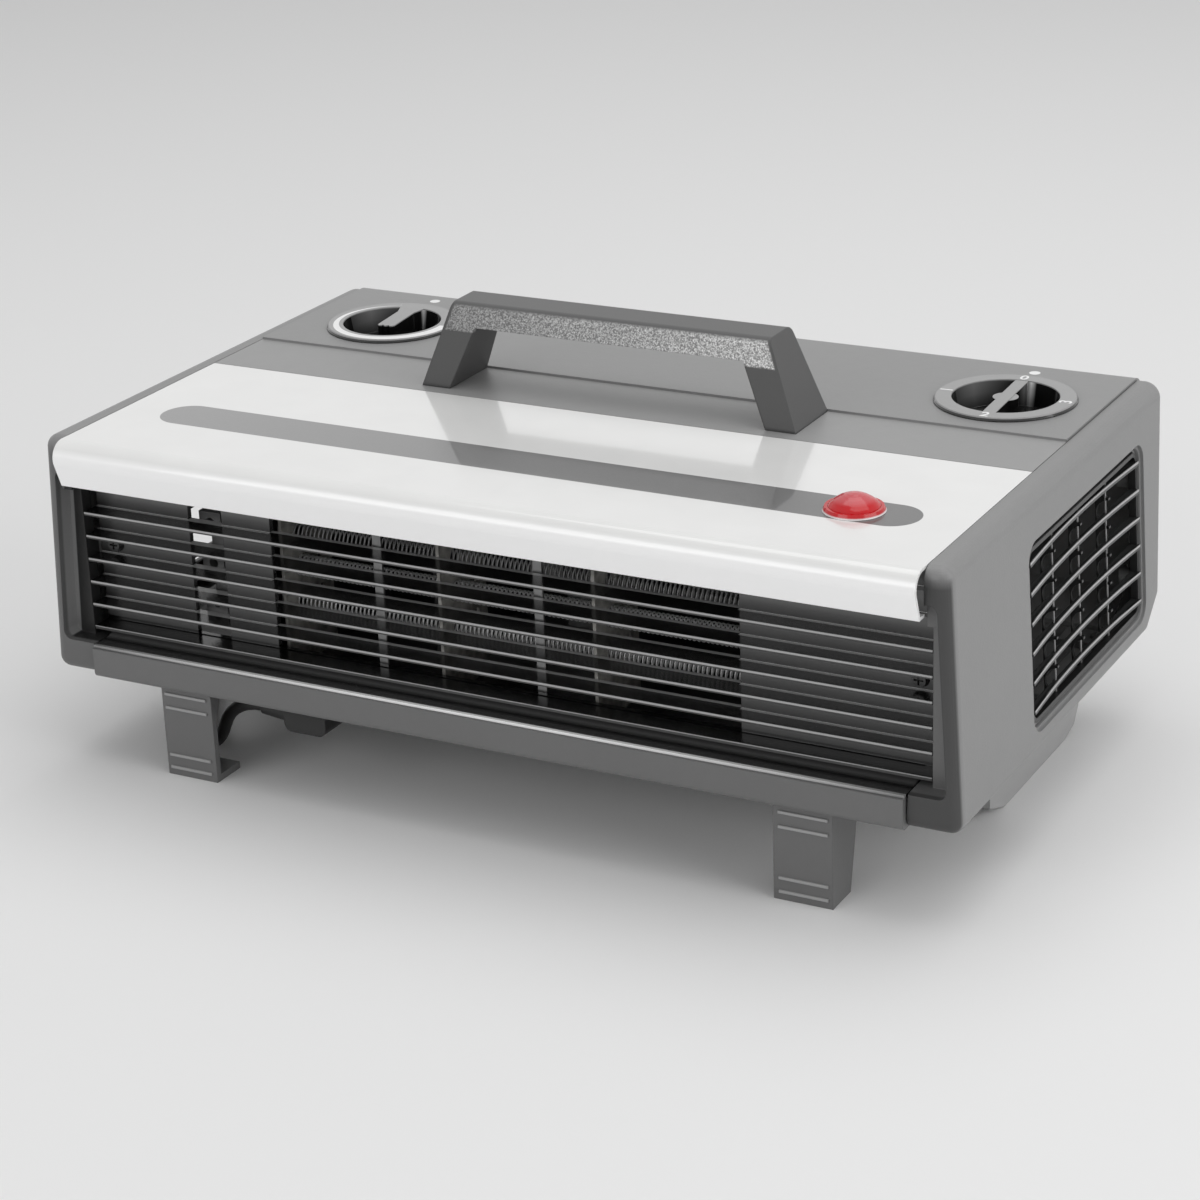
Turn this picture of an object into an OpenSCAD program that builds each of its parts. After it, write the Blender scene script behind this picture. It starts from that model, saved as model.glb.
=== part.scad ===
// Convector fan heater with a carrying handle, two top dials and a louvred front outlet.
// Millimetres. +Z is up, -Y is the outlet side. The origin is on the floor, under the centre of the heater.

/* [Casing] */
// Width of the top plate between the side cheeks
plate_w = 320; // [300:1:340]
// Depth of the top plate, front bend to back edge
plate_depth = 99; // [94:1:106]
// Depth of the strip that carries the handle
strip_depth = 32; // [30:1:36]
// Depth of the raised rear panel with the two dials
rear_depth = 77; // [72:1:84]
// Height of the casing, underside to top face
body_h = 88; // [86:1:94]
// Clear height of the casing above the floor
leg_h = 34.5; // [30:0.5:40]
// Wall of the moulded casing pieces
wall = 2.5; // [2.2:0.1:2.8]
// Thickness of the sheet steel pieces
sheet = 1; // [0.8:0.1:1.2]
// Open seam between casing pieces
seam = 0.3; // [0.2:0.05:0.4]
// Gap left between faces that seat on each other
fit = 0.1; // [0.05:0.01:0.15]

/* [Cheeks] */
// Width of a cheek's top edge beside the plate
cheek_top_w = 8.5; // [7:0.5:10]
// Extra width of a cheek at its foot
cheek_flare = 4.5; // [3:0.5:6]
// Least width of a cheek's foot beside the front bar
cheek_foot_w = 14; // [12:0.5:15]
// Set-back of the cheek fronts behind the plate's bend
cheek_front = 6; // [5:0.5:7]
// Rounding of the cheek edges
edge_r = 4.5; // [4:0.5:5]
// Rounding of the casing's top edge at the back
back_r = 6; // [5:0.5:6.5]
// Lean of the back wall towards the front at its foot
back_lean = 9; // [7:0.5:10]
// Height of the sloping heel at the bottom of the back
heel_h = 11; // [9:0.5:13]
// Depth of the moulded column at the front of a cheek
column_d = 13; // [12:0.5:14]
// Depth of the recess beside the louvres
recess_d = 8; // [7:0.5:9]
// Width of the front band outside the recess
band_w = 4.5; // [4:0.25:5.5]

/* [Side grilles] */
// Width of the side window
window_w = 112.5; // [106:0.5:114]
// Height of the side window
window_h = 66; // [62:1:68]
// Corner radius of the side window
window_r = 7; // [5:0.5:9]
// Inset of each step in the window rim
rim_step = 1.2; // [1:0.1:1.4]
// Number of long fins in a side grille
fin_count = 6; // [4:1:7]
// Distance between the fins
fin_pitch = 10.2; // [9.5:0.1:10.8]
// Thickness of a fin
fin_t = 1.6; // [1.3:0.1:2]
// Number of cross ribs behind the fins
rib_count = 3; // [2:1:4]
// Sag of the dished face of a side grille
dish_sag = 2.2; // [1.5:0.1:2.8]

/* [Top plate] */
// Outer radius of the front bend
bend_r = 6; // [5:0.5:7]
// Lean of the front lip from upright
lip_lean = 20; // [16:1:24]
// Drop of the front lip below the top face
lip_drop = 16.4; // [15:0.2:18]
// Length of the hem at the lip's lower edge
hem = 3; // [2:0.5:4]
// Step up from the handle strip to the rear panel
rear_step = 0.8; // [0.5:0.1:1.2]

/* [Front] */
// Set-back of the louvre edges behind the plate's bend
louvre_front = 14; // [13:0.5:15]
// Depth of a louvre slat
louvre_d = 8; // [7:0.5:9]
// Number of louvre slats
louvre_count = 6; // [5:1:6]
// Distance between the slats
louvre_pitch = 8.6; // [8.2:0.1:8.8]
// Depth of the first slat below the top face
louvre_top = 29.8; // [28:0.2:31]
// Thickness of a slat
louvre_t = 1.2; // [1:0.1:1.5]
// Depth of the sill below the top face
sill_drop = 76; // [75:0.5:78]
// Left end of the outlet window, from the middle
outlet_left = 121; // [115:1:126]
// Right end of the outlet window, from the middle
outlet_right = 91; // [86:1:96]
// Length of the front bar under the louvres
bar_w = 309; // [304:1:312]
// Set-back of the front bar behind the plate's bend
bar_front = 4; // [3.5:0.25:5]
// Place of the front screws, from the middle
front_screw_x = 153; // [150:0.5:154]

/* [Handle] */
// Length of the handle's grip at its top
handle_top_w = 124; // [116:1:130]
// Length of the handle at its feet
handle_foot_w = 147; // [140:1:154]
// Rise of the handle above the top face
handle_h = 31; // [28:0.5:36]
// Thickness of the grip bar
grip_t = 8.4; // [7:0.2:9]
// Width of the handle's legs, seen from the front
handle_leg_w = 11; // [9:0.5:12]
// Depth of the handle at its feet
handle_foot_d = 26.5; // [24:0.5:28]
// Depth of the handle at its top
handle_top_d = 18; // [15:0.5:21]

/* [Feet] */
// Place of the front legs, from the middle
leg_x = 118.5; // [110:0.5:124]
// Width of a front leg
leg_w = 20.8; // [18:0.4:24]
// Set-back of the front legs behind the plate's bend
leg_front = 8; // [7:0.5:9]
// Depth of a front leg at its top
leg_top_d = 21.5; // [20:0.5:24]
// Depth of a front leg at the floor
leg_foot_d = 14; // [12:0.5:16]
// Length of a rear foot on the floor side
rear_foot_l = 87; // [80:1:92]
// Width of a rear foot
rear_foot_w = 20; // [16:1:24]
// Outer face of the rear feet, from the middle
rear_foot_x = 151.5; // [148:0.5:152]
// Set-back of the rear feet behind the plate's bend
rear_foot_front = 87; // [82:1:90]

/* [Dials] */
// Place of the dials, from the middle
dial_x = 124.2; // [120:0.5:128]
// Set-back of the dial centres behind the plate's bend
dial_set = 163.5; // [161:0.5:166]
// Shift of both dials to the right of the middle
dial_mid = 2; // [0:0.25:3]
// Diameter of a dial's flange
dial_d = 50; // [46:0.5:52]
// Diameter of the finger bowl in a dial
bowl_d = 37.5; // [35:0.5:38]
// Depth of the finger bowl
bowl_depth = 9; // [8:0.5:10]
// Thickness of a dial's flange
flange_t = 1.1; // [0.9:0.1:1.5]
// Width of the finger bar in the thermostat dial
bar_t = 6.8; // [5.6:0.2:7.6]
// Width of the bar across the selector dial
cross_bar_t = 4.6; // [4:0.2:6]
// Turn of the selector dial at its first position
cross_turn = 3; // [0:1:8]
// Turn of the thermostat dial at its first position
half_turn = 6; // [0:1:8]
// Diameter of a dial's spindle
spindle_d = 6; // [5.5:0.1:6.4]
// Free radial gap round the spindles and the motor shaft
running_fit = 0.05; // [0.03:0.01:0.08]

/* [Lamp] */
// Place of the lamp, from the middle
lamp_x = 121; // [115:0.5:126]
// Set-back of the lamp behind the plate's bend
lamp_set = 44.5; // [42:0.5:48]
// Diameter of the lamp's rim
lamp_d = 20.5; // [18:0.25:22]
// Rise of the lamp lens
lens_rise = 4; // [3:0.25:5]

/* [Fan] */
// Middle of the motor along the width
fan_x = -8; // [-11:0.5:-5]
// Set-back of the shaft behind the plate's bend
shaft_set = 126; // [124:0.5:128]
// Depth of the shaft below the top face
shaft_drop = 45; // [44.5:0.5:45.5]
// Diameter of the motor shaft
shaft_d = 5; // [4.5:0.1:5.5]
// Diameter of the blower wheels
wheel_d = 62; // [58:1:64]
// Length of a blower wheel
wheel_w = 40; // [36:1:42]
// Number of blades in a wheel
blade_count = 22; // [16:1:26]
// Thickness of a blade
blade_t = 0.9; // [0.7:0.1:1.1]
// Wall of the scroll casings
scroll_t = 1.5; // [1.2:0.1:1.8]
// Distance from the motor's middle to each scroll casing
scroll_in = 36; // [35:0.5:38]
// Thickness of the motor's steel stack
stack_w = 22; // [18:0.5:24]
// Diameter of the motor's rotor
rotor_d = 26; // [24:0.5:27]

/* [Heater] */
// Outer diameter of the heating coils
coil_d = 7.2; // [6.6:0.2:7.8]
// Diameter of the heating wire
wire_d = 1; // [0.8:0.1:1.1]
// Number of curls in each heating coil
curl_count = 18; // [16:1:20]
// Depth of the middle row of coils below the top face
coil_drop = 47; // [45:0.5:50]
// Distance between the rows of coils
coil_pitch = 12.5; // [11.5:0.5:13.5]
// Thickness of the mica boards
mica_t = 1.2; // [1:0.1:1.5]

/* [Cord] */
// Diameter of the power cord
cord_d = 4.6; // [4.2:0.1:5]
// Number of loops in each of the four layers of the coiled part
cord_loops = 2; // [2:1:3]

/* [Hidden] */
$fn = 48;

// Colours of the materials
cheek_grey = "#8f8f8f";
cover_grey = "#969696";
bar_grey = "#626262";
leg_grey = "#666666";
black = "#181818";
white = "#e8e8e8";
steel = "#a8abad";
mica = "#cbbf9f";
brass = "#c9a24a";
copper = "#b4632e";

// Casing box
body_depth = plate_depth + strip_depth + rear_depth;
front_y = -body_depth / 2;
back_y = body_depth / 2;
base_z = leg_h;
top_z = base_z + body_h;
sill_z = top_z - sill_drop;
side_in = plate_w / 2 + seam;
side_top = max(plate_w / 2 + cheek_top_w, bar_w / 2 + cheek_foot_w - cheek_flare);
flare_a = atan(cheek_flare / body_h);
ledge_w = 5;
ledge_t = 2.4;
cheek_in_y = front_y + cheek_front + column_d;
floor_top = base_z + wall;
heel_run = heel_h * 1.15;

// Place on the drafted side face at a height, and on the leaning back wall
function side_at(z) = side_top + cheek_flare * (top_z - z) / body_h;
function back_at(z) = back_y - back_lean * (top_z - z) / body_h;
heel_y = back_at(base_z) - heel_run;

// Side window, measured along the drafted face
window_y = front_y + 127.5;
window_s = 48;

// Louvres and outlet
panel_y = front_y + louvre_front + louvre_d;
panel_t = 2;
outlet_top = top_z - 21;
outlet_foot = sill_z + 3;
sill_rise = 3.5;
grille_half = plate_w / 2;
front_screw_z = top_z - louvre_top - 1.5 * louvre_pitch - louvre_t / 2;
slot_right = -outlet_left + 14;
window_left = -outlet_left + 34;
front_screw_d = 3;
lug_t = 6;

// Fan
shaft_y = front_y + shaft_set;
shaft_z = top_z - shaft_drop;
bore_r = shaft_d / 2 + running_fit;
stack_half = stack_w / 2;
air_gap = 0.4;
bridge_x = stack_half + 9;
wheel_in = scroll_in + scroll_t + 4;
scroll_w = wheel_w + 10;
scroll_out = scroll_in + scroll_w;
scroll_r0 = wheel_d / 2 + 4;
scroll_growth = 4.5;
scroll_b = scroll_r0 + scroll_growth;
cutoff_a = 20;
outlet_rise = 24;

// Heater duct
duct_left = fan_x - scroll_out - 3;
duct_right = outlet_right + 4;
duct_y = panel_y + panel_t + 1;
duct_d = 34;
duct_top = shaft_z + outlet_rise;
duct_foot = shaft_z - scroll_b;
coil_y = duct_y + 13;
coil_z = top_z - coil_drop;
board_gap = 0.35;
board_x = [window_left, -24, 35, duct_right - 5];
bar_x_at = [-46, 16];

// Dials
dial_y = front_y + dial_set;
function dial_at(sx) = dial_mid + sx * dial_x;
panel_z = top_z + rear_step;
well_depth = 15;
well_d = bowl_d + 6;
body_z = panel_z - well_depth - wall;
bush_d = 9.6;

// Feet and screws
screw_d = 3;
screw_len = 6;
hole_d = screw_d + 0.3;
leg_wall = 2.5;

// Cord route on the floor, as points chosen by hand, with the coil centre behind the heater
cord_r = cord_d / 2;
gland_x = -73;
gland_y = front_y + 20;
gland_w = 17;
gland_h = 11.5;
gland_z = base_z - gland_h + 5;
relief_reach = 12;
coil_cx = -127;
coil_cy = 150;
loop_step = cord_d + 0.9;
loop_rise = cord_d + 0.6;
coil_r0 = 26.5 + cord_loops * loop_step / 2;
plug_at = [-54, 124, 0];

module rounded_rect(w, h, r) {
    square([w - 2 * r, h], center = true);
    square([w, h - 2 * r], center = true);
    for (sx = [-1, 1], sy = [-1, 1])
        translate([sx * (w / 2 - r), sy * (h / 2 - r)])
            circle(r = r);
}

// Draws a shape of the YZ plane along X
module along_x(x0, x1) {
    translate([x0, 0, 0])
        rotate([90, 0, 90])
            linear_extrude(height = x1 - x0)
                children();
}

// Draws a shape of the XZ plane along Y
module along_y(y0, y1) {
    translate([0, y1, 0])
        rotate([90, 0, 0])
            linear_extrude(height = y1 - y0)
                children();
}

module box(a, b) {
    translate(a)
        cube([b[0] - a[0], b[1] - a[1], b[2] - a[2]]);
}

// Round bar along X between two places
module bar_x(x0, x1, r) {
    translate([x0, 0, 0])
        rotate([0, 90, 0])
            cylinder(r = r, h = x1 - x0);
}

// Frame of the right side face: X out, Y back, Z up along the face, zero at the top edge
module on_side() {
    translate([side_top, 0, top_z])
        rotate([0, -flare_a, 0])
            children();
}

// A window shape cut or built on the side face between two depths
module side_slab(d0, d1, w, h, r) {
    on_side()
        translate([0, window_y, -window_s])
            along_x(d0, d1)
                rounded_rect(w, h, r);
}

// Pan-head screw pointing down, its seat at zero
module screw(d, len) {
    difference() {
        union() {
            translate([0, 0, -len])
                cylinder(d = d, h = len);
            cylinder(d1 = 2 * d, d2 = 1.6 * d, h = 0.7 * d);
        }
        for (a = [0, 90])
            rotate([0, 0, a])
                translate([-0.55 * d, -0.11 * d, 0.35 * d])
                    cube([1.1 * d, 0.22 * d, d]);
    }
}

// Casing

module cheek_block() {
    r = edge_r;
    y_front = front_y + cheek_front + r;
    foot = bar_w / 2 + seam;
    corners = [[y_front, top_z - r, side_in, r], [y_front, base_z + r, foot, r],
        [heel_y - 0.4 * r, base_z + r, foot, r],
        [back_at(base_z + heel_h) - r, base_z + heel_h + 0.4 * r, foot, r],
        [back_y - back_r, top_z - back_r, side_in, back_r]];
    hull()
        for (c = corners) {
            translate([side_at(c[1]) - c[3], c[0], c[1]])
                sphere(r = c[3], $fn = 32);
            translate([c[2], c[0], c[1]])
                rotate([0, 90, 0])
                    cylinder(r = c[3], h = 1, $fn = 32);
        }
}

// Inside of a cheek seen from the side, drawn in by a margin
module hollow_profile(in) {
    r = wall + in;
    top = back_at(top_z - r) - r;
    polygon([[cheek_in_y + in, floor_top + in], [heel_y - r, floor_top + in],
        [back_at(base_z + heel_h) - r, base_z + heel_h + 0.6 * r], [top, top_z - r - 3],
        [top - 3, top_z - r], [cheek_in_y + in, top_z - r]]);
}

module cheek_hollow() {
    r = wall;
    intersection() {
        along_y(front_y, back_y)
            polygon([[bar_w / 2 - 5, floor_top], [side_at(floor_top) - r, floor_top],
                [side_at(top_z - r) - r, top_z - r], [bar_w / 2 - 5, top_z - r]]);
        along_x(bar_w / 2 - 6, side_at(base_z) + 1)
            hollow_profile(0);
    }
}

// Recess with rounded corners beside the louvres
module cheek_recess() {
    z0 = sill_z;
    z1 = top_z - 12;
    rr = 3;
    along_y(front_y, front_y + cheek_front + recess_d)
        hull() {
            translate([side_in - 12, z0])
                square([1, z1 - z0]);
            translate([side_at(z0) - band_w - rr, z0 + rr])
                circle(r = rr, $fn = 32);
            translate([side_at(z1) - band_w - rr, z1 - rr])
                circle(r = rr, $fn = 32);
        }
}

module right_cheek_solid() {
    cut_x = min(bar_w / 2 - 8, side_in - 1);
    foot_in = bar_w / 2 + seam - 0.02;
    difference() {
        union() {
            difference() {
                cheek_block();
                cheek_hollow();
                box([cut_x, front_y, sill_z], [side_in, cheek_in_y + 1, top_z + 1]);
                box([cut_x, cheek_in_y, floor_top], [side_in, back_y + 1, top_z + 1]);
                // Room for the ends of the base pan, the front bar and the sill
                box([cut_x, front_y, base_z - 1], [foot_in, back_y + 1, floor_top + fit]);
                box([cut_x, front_y, base_z - 1], [foot_in, cheek_in_y + 1, sill_z + sill_rise]);
                cheek_recess();
            }
            // Ledge under the edges of the plate and the cover
            box([side_in - ledge_w, cheek_in_y - 3, top_z - sheet - fit - ledge_t],
                [side_in + 3, back_at(top_z) - wall - 1, top_z - sheet - fit]);
            // Lug that takes the front screw
            box([front_screw_x - 4, panel_y + panel_t + fit, front_screw_z - 5],
                [side_in + 4, panel_y + panel_t + fit + lug_t, front_screw_z + 5]);
            box([side_in, cheek_in_y - 1, front_screw_z - 5],
                [side_in + 4, panel_y + panel_t + fit + lug_t, front_screw_z + 5]);
            // Small hook at the top of the recess
            box([side_in, front_y + cheek_front + 3, top_z - 20],
                [side_in + 4, front_y + cheek_front + recess_d + 1, top_z - 11]);
            // Posts behind the window that hold the side grille
            grille_posts();
        }
        for (k = [0:2])
            side_slab(-(k + 1) * rim_step - (k == 2 ? wall : 0), 4, window_w - 2 * k * rim_step,
                window_h - 2 * k * rim_step, window_r - k * rim_step);
        translate([front_screw_x, 0, front_screw_z])
            rotate([-90, 0, 0])
                translate([0, 0, panel_y - 5])
                    cylinder(d = hole_d, h = lug_t + 20);
        for (y = tab_y)
            translate([tab_screw_x, y, base_z - 1])
                cylinder(d = hole_d, h = wall + 2);
        foot_screw_holes();
    }
}

guard_margin = 8.5;
post_d = 6;
module grille_posts() {
    intersection() {
        for (sy = [-1, 1], sz = [-1, 1])
            on_side()
                translate([-wall - 7, window_y + sy * (window_w / 2 + 1), sz * 18 - window_s])
                    rotate([0, 90, 0])
                        cylinder(d = post_d, h = 7.5);
        box([0, cheek_in_y, floor_top], [side_at(base_z), back_y, top_z - wall]);
    }
}

tab_y = [cheek_in_y + 20, 0, heel_y - 22];
tab_screw_x = max(bar_w / 2 + 6, rear_foot_x + 9);
tab_w = 12;
tab_past = 6;

module right_cheek() {
    color(cheek_grey) right_cheek_solid();
}

module left_cheek() {
    color(cheek_grey)
        mirror([1, 0, 0])
            right_cheek_solid();
}

// Upright ribs between the fins, each scooped inwards over the fin below
rib_t = 1.5;
rib_past = 3;
module grille_ribs(back_d, inner_w, inner_h) {
    difference() {
        on_side()
            for (k = [1:rib_count])
                translate([back_d - rib_past, window_y + (k / (rib_count + 1) - 0.5) * inner_w - rib_t / 2,
                    -window_s - inner_h / 2 + 0.5])
                    cube([rib_past - back_d - 0.8, rib_t, inner_h - 1]);
        on_side()
            for (k = [0:fin_count])
                translate([-dish_sag, window_y - inner_w,
                    -window_s + (k - (fin_count + 1) / 2) * fin_pitch + fin_t / 2])
                    rotate([-90, 0, 0])
                        cylinder(r = (fin_pitch - fin_t) * 0.55, h = 2 * inner_w);
    }
}

// Side grille: dished fins and ribs on a frame behind the window
module side_grille() {
    inner_w = window_w - 4 * rim_step - 2 * seam;
    inner_h = window_h - 4 * rim_step - 2 * seam;
    frame_t = 1.6;
    back_d = -wall - fit - frame_t;
    dish_r = inner_w * inner_w / (8 * dish_sag) + dish_sag / 2;
    difference() {
        union() {
            difference() {
                union() {
                    intersection() {
                        side_slab(back_d, -wall - fit, inner_w + 2 * guard_margin, inner_h + 8, window_r);
                        along_x(plate_w / 4, side_at(0))
                            hollow_profile(fit);
                    }
                    side_slab(back_d, -wall + 1, inner_w, inner_h, window_r - 2 * rim_step);
                }
                side_slab(back_d - 1, 1, inner_w - 3, inner_h - 3, window_r - 2 * rim_step - 1.5);
            }
            difference() {
                union() {
                    on_side()
                        for (k = [0:fin_count - 1])
                            translate([back_d, window_y - inner_w / 2 + 0.5,
                                -window_s + (k - (fin_count - 1) / 2) * fin_pitch - fin_t / 2])
                                cube([-back_d - 0.6, inner_w - 1, fin_t]);
                    grille_ribs(back_d, inner_w, inner_h);
                }
                on_side()
                    translate([dish_r - dish_sag - 0.6, window_y, -window_s - window_h])
                        cylinder(r = dish_r, h = 2 * window_h, $fn = 720);
            }
        }
        // Holes over the cheek's posts
        on_side()
            for (sy = [-1, 1], sz = [-1, 1])
                translate([back_d - 1, window_y + sy * (window_w / 2 + 1), sz * 18 - window_s])
                    rotate([0, 90, 0])
                        cylinder(d = post_d + 2 * fit, h = 4);
    }
}

module right_side_grille() {
    color(cheek_grey) side_grille();
}

module left_side_grille() {
    color(cheek_grey)
        mirror([1, 0, 0])
            side_grille();
}

// Space under the folded sheet at a depth below its face, out to a margin past its edges
module plate_fill(depth, past) {
    r = bend_r - depth;
    cy = front_y + bend_r;
    cz = top_z - bend_r;
    fall = (lip_drop - bend_r) * tan(lip_lean);
    foot_y = cy - r / cos(lip_lean) + fall;
    translate([cy, cz])
        circle(r = r, $fn = 96);
    translate([cy, top_z - lip_drop - past])
        square([plate_depth - bend_r + past, lip_drop + past - depth]);
    polygon([[cy - r * cos(lip_lean), cz - r * sin(lip_lean)],
        [foot_y + past * tan(lip_lean), top_z - lip_drop - past],
        [cy + 1, top_z - lip_drop - past], [cy + 1, cz], [cy, cz]]);
}

// Folded sheet: top face, round bend, leaning lip and hem
module plate_profile() {
    foot_y = front_y + bend_r - bend_r / cos(lip_lean) + (lip_drop - bend_r) * tan(lip_lean);
    difference() {
        plate_fill(0, 0);
        plate_fill(sheet, 2);
    }
    polygon([[foot_y + 0.3, top_z - lip_drop], [foot_y + hem + sheet, top_z - lip_drop],
        [foot_y + hem + sheet, top_z - lip_drop + sheet], [foot_y, top_z - lip_drop + sheet]]);
}

module top_plate() {
    color(white)
        difference() {
            along_x(-plate_w / 2, plate_w / 2)
                plate_profile();
            translate([lamp_x, front_y + lamp_set, top_z - 5])
                cylinder(d = lamp_neck_d + 2 * fit, h = 10);
        }
}

// Top cover: handle strip, raised dial panel, rounded back edge and two dial wells
cover_y = front_y + plate_depth + seam;
step_y = cover_y + strip_depth;
cover_drop = 10;

// Quarter-round corner of the cover, from its top face to its back face or the other way
function corner_arc(r, from, to) = [for (i = [0:12]) let (a = from + (to - from) * i / 12)
    [back_y - back_r + r * cos(a), panel_z - back_r + r * sin(a)]];

module cover_profile() {
    foot = top_z - cover_drop;
    polygon(concat([[cover_y, top_z - wall], [cover_y, top_z], [step_y, top_z], [step_y, panel_z]],
        corner_arc(back_r, 90, 0), [[back_at(foot), foot], [back_at(foot) - wall, foot]],
        corner_arc(back_r - wall - rear_step, 0, 90)));
}

module top_cover() {
    inner = side_in - ledge_w - seam;
    return_y = back_at(top_z) - wall - 1 + fit;
    color(cover_grey)
        difference() {
            union() {
                along_x(-plate_w / 2, plate_w / 2)
                    intersection() {
                        cover_profile();
                        union() {
                            translate([front_y, top_z - sheet])
                                square([body_depth, 3]);
                            translate([return_y, top_z - 2 * cover_drop])
                                square([10, 2 * cover_drop]);
                        }
                    }
                along_x(-inner, inner)
                    cover_profile();
                // Rebate under the back edge of the plate
                box([-inner, cover_y - 5, top_z - sheet - fit - 1.5],
                    [inner, cover_y + 2, top_z - sheet - fit]);
                for (sx = [-1, 1])
                    translate([dial_at(sx), dial_y, panel_z - well_depth - wall])
                        cylinder(d = well_d + 2 * wall, h = well_depth);
                // Bosses for the handle screws
                for (sx = [-1, 1])
                    translate([sx * handle_screw_x, handle_y, top_z - wall - 3])
                        cylinder(d = 9, h = 4);
            }
            for (sx = [-1, 1])
                translate([dial_at(sx), dial_y, panel_z - well_depth]) {
                    cylinder(d = well_d, h = well_depth + 1);
                    translate([0, 0, -wall - 1])
                        cylinder(d = bush_d + 2 * fit, h = wall + 2);
                }
            for (sx = [-1, 1])
                translate([sx * handle_screw_x, handle_y, top_z - wall - 5])
                    cylinder(d = hole_d, h = 10);
        }
}

// Carrying handle: flared legs and a tapered grip
handle_y = step_y - seam - handle_foot_d / 2;
handle_screw_x = handle_foot_w / 2 - handle_leg_w / 2 - 1;

module handle_front(w0, w1, z0, z1) {
    polygon([[-w0 / 2, z0], [w0 / 2, z0], [w1 / 2, z1], [-w1 / 2, z1]]);
}

module handle() {
    z0 = top_z + fit;
    z1 = top_z + handle_h;
    inner_foot = handle_foot_w - 2 * handle_leg_w;
    inner_top = handle_top_w - 2 * handle_leg_w + 3;
    r = 3;
    color(leg_grey)
        difference() {
            intersection() {
                along_y(handle_y - handle_foot_d, handle_y + handle_foot_d)
                    difference() {
                        handle_front(handle_foot_w, handle_top_w, z0, z1);
                        handle_front(inner_foot, inner_top, z0 - 1, z1 - grip_t);
                    }
                along_x(-handle_foot_w, handle_foot_w)
                    hull() {
                        translate([handle_y - handle_foot_d / 2, z0])
                            square([handle_foot_d, 1]);
                        for (s = [-1, 1])
                            translate([handle_y + s * (handle_top_d / 2 - r), z1 - r])
                                circle(r = r, $fn = 32);
                    }
            }
            for (sx = [-1, 1])
                translate([sx * handle_screw_x, handle_y, z0 - 1])
                    cylinder(d = hole_d, h = 12);
        }
}

module handle_screws() {
    color(steel)
        for (sx = [-1, 1])
            translate([sx * handle_screw_x, handle_y, top_z - wall - 3 - fit])
                mirror([0, 0, 1])
                    screw(screw_d, 14);
}

// Front grille: blank panel with the outlet window, slats, and a hollowed sill
module sill_profile() {
    y0 = front_y + bar_front + 1;
    y1 = panel_y;
    sag = 1.5;
    chord = sqrt(pow(y1 - y0 - 1, 2) + pow(sill_rise, 2));
    rad = chord * chord / (8 * sag) + sag / 2;
    mid = [(y0 + 1 + y1) / 2, sill_z + sill_rise / 2];
    dir = [-sill_rise / chord, (y1 - y0 - 1) / chord];
    difference() {
        polygon([[y0, sill_z - 1], [y0, sill_z], [y0 + 1, sill_z], [y1, sill_z + sill_rise],
            [y1 + panel_t, sill_z + sill_rise], [y1 + panel_t, floor_top + 2 * fit + 1.5],
            [y1, floor_top + 2 * fit + 1.5], [y1, sill_z - 0.5], [y0 + 5.6, sill_z - 3],
            [y0 + 5.6, floor_top + 2 * fit + 1.5], [y0 + 3.6, floor_top + 2 * fit + 1.5],
            [y0 + 3.6, sill_z - 1]]);
        translate([mid[0] + dir[0] * (rad - sag), mid[1] + dir[1] * (rad - sag)])
            circle(r = rad, $fn = 96);
    }
}

module front_grille() {
    half = grille_half;
    color(black)
        difference() {
            union() {
                difference() {
                    box([-half, panel_y, sill_z + 0.5], [half, panel_y + panel_t, top_z - sheet - fit]);
                    box([-outlet_left, panel_y - 1, outlet_foot],
                        [slot_right, panel_y + panel_t + 1, outlet_top]);
                    box([window_left, panel_y - 1, outlet_foot],
                        [outlet_right, panel_y + panel_t + 1, outlet_top]);
                    // Clearance for the ledges of the cheeks
                    for (sx = [-1, 1])
                        translate([sx * half, panel_y + panel_t / 2, top_z])
                            cube([2 * ledge_w + 2, 10, 2 * (sheet + ledge_t + 2 * fit)], center = true);
                }
                for (k = [0:louvre_count - 1])
                    box([-half, front_y + louvre_front, top_z - louvre_top - k * louvre_pitch - louvre_t],
                        [half, panel_y + panel_t, top_z - louvre_top - k * louvre_pitch]);
                // Flange under the front of the plate
                box([-half + ledge_w + 1, front_y + 9, top_z - sheet - fit - 2],
                    [half - ledge_w - 1, panel_y + 1, top_z - sheet - fit]);
                along_x(-bar_w / 2, bar_w / 2)
                    sill_profile();
            }
            for (sx = [-1, 1])
                translate([sx * front_screw_x, panel_y - 1, front_screw_z])
                    rotate([-90, 0, 0])
                        cylinder(d = hole_d, h = 10);
        }
}

module front_screws() {
    color(black)
        for (sx = [-1, 1])
            translate([sx * front_screw_x, panel_y - fit, front_screw_z])
                rotate([90, 0, 0])
                    screw(front_screw_d, 11);
}

module front_bar() {
    y0 = front_y + bar_front;
    r = 2;
    color(bar_grey)
        along_x(-bar_w / 2, bar_w / 2) {
            translate([y0 + r, base_z + r])
                circle(r = r);
            translate([y0, base_z + r])
                square([3.4, sill_z - 1 - fit - base_z - r]);
            translate([y0 + r, base_z])
                square([bar_flange - r, wall]);
        }
}

// Base pan with side tabs, motor seats and leg screw holes
bar_flange = 15;
pan_front = front_y + bar_front + bar_flange + seam;

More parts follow.
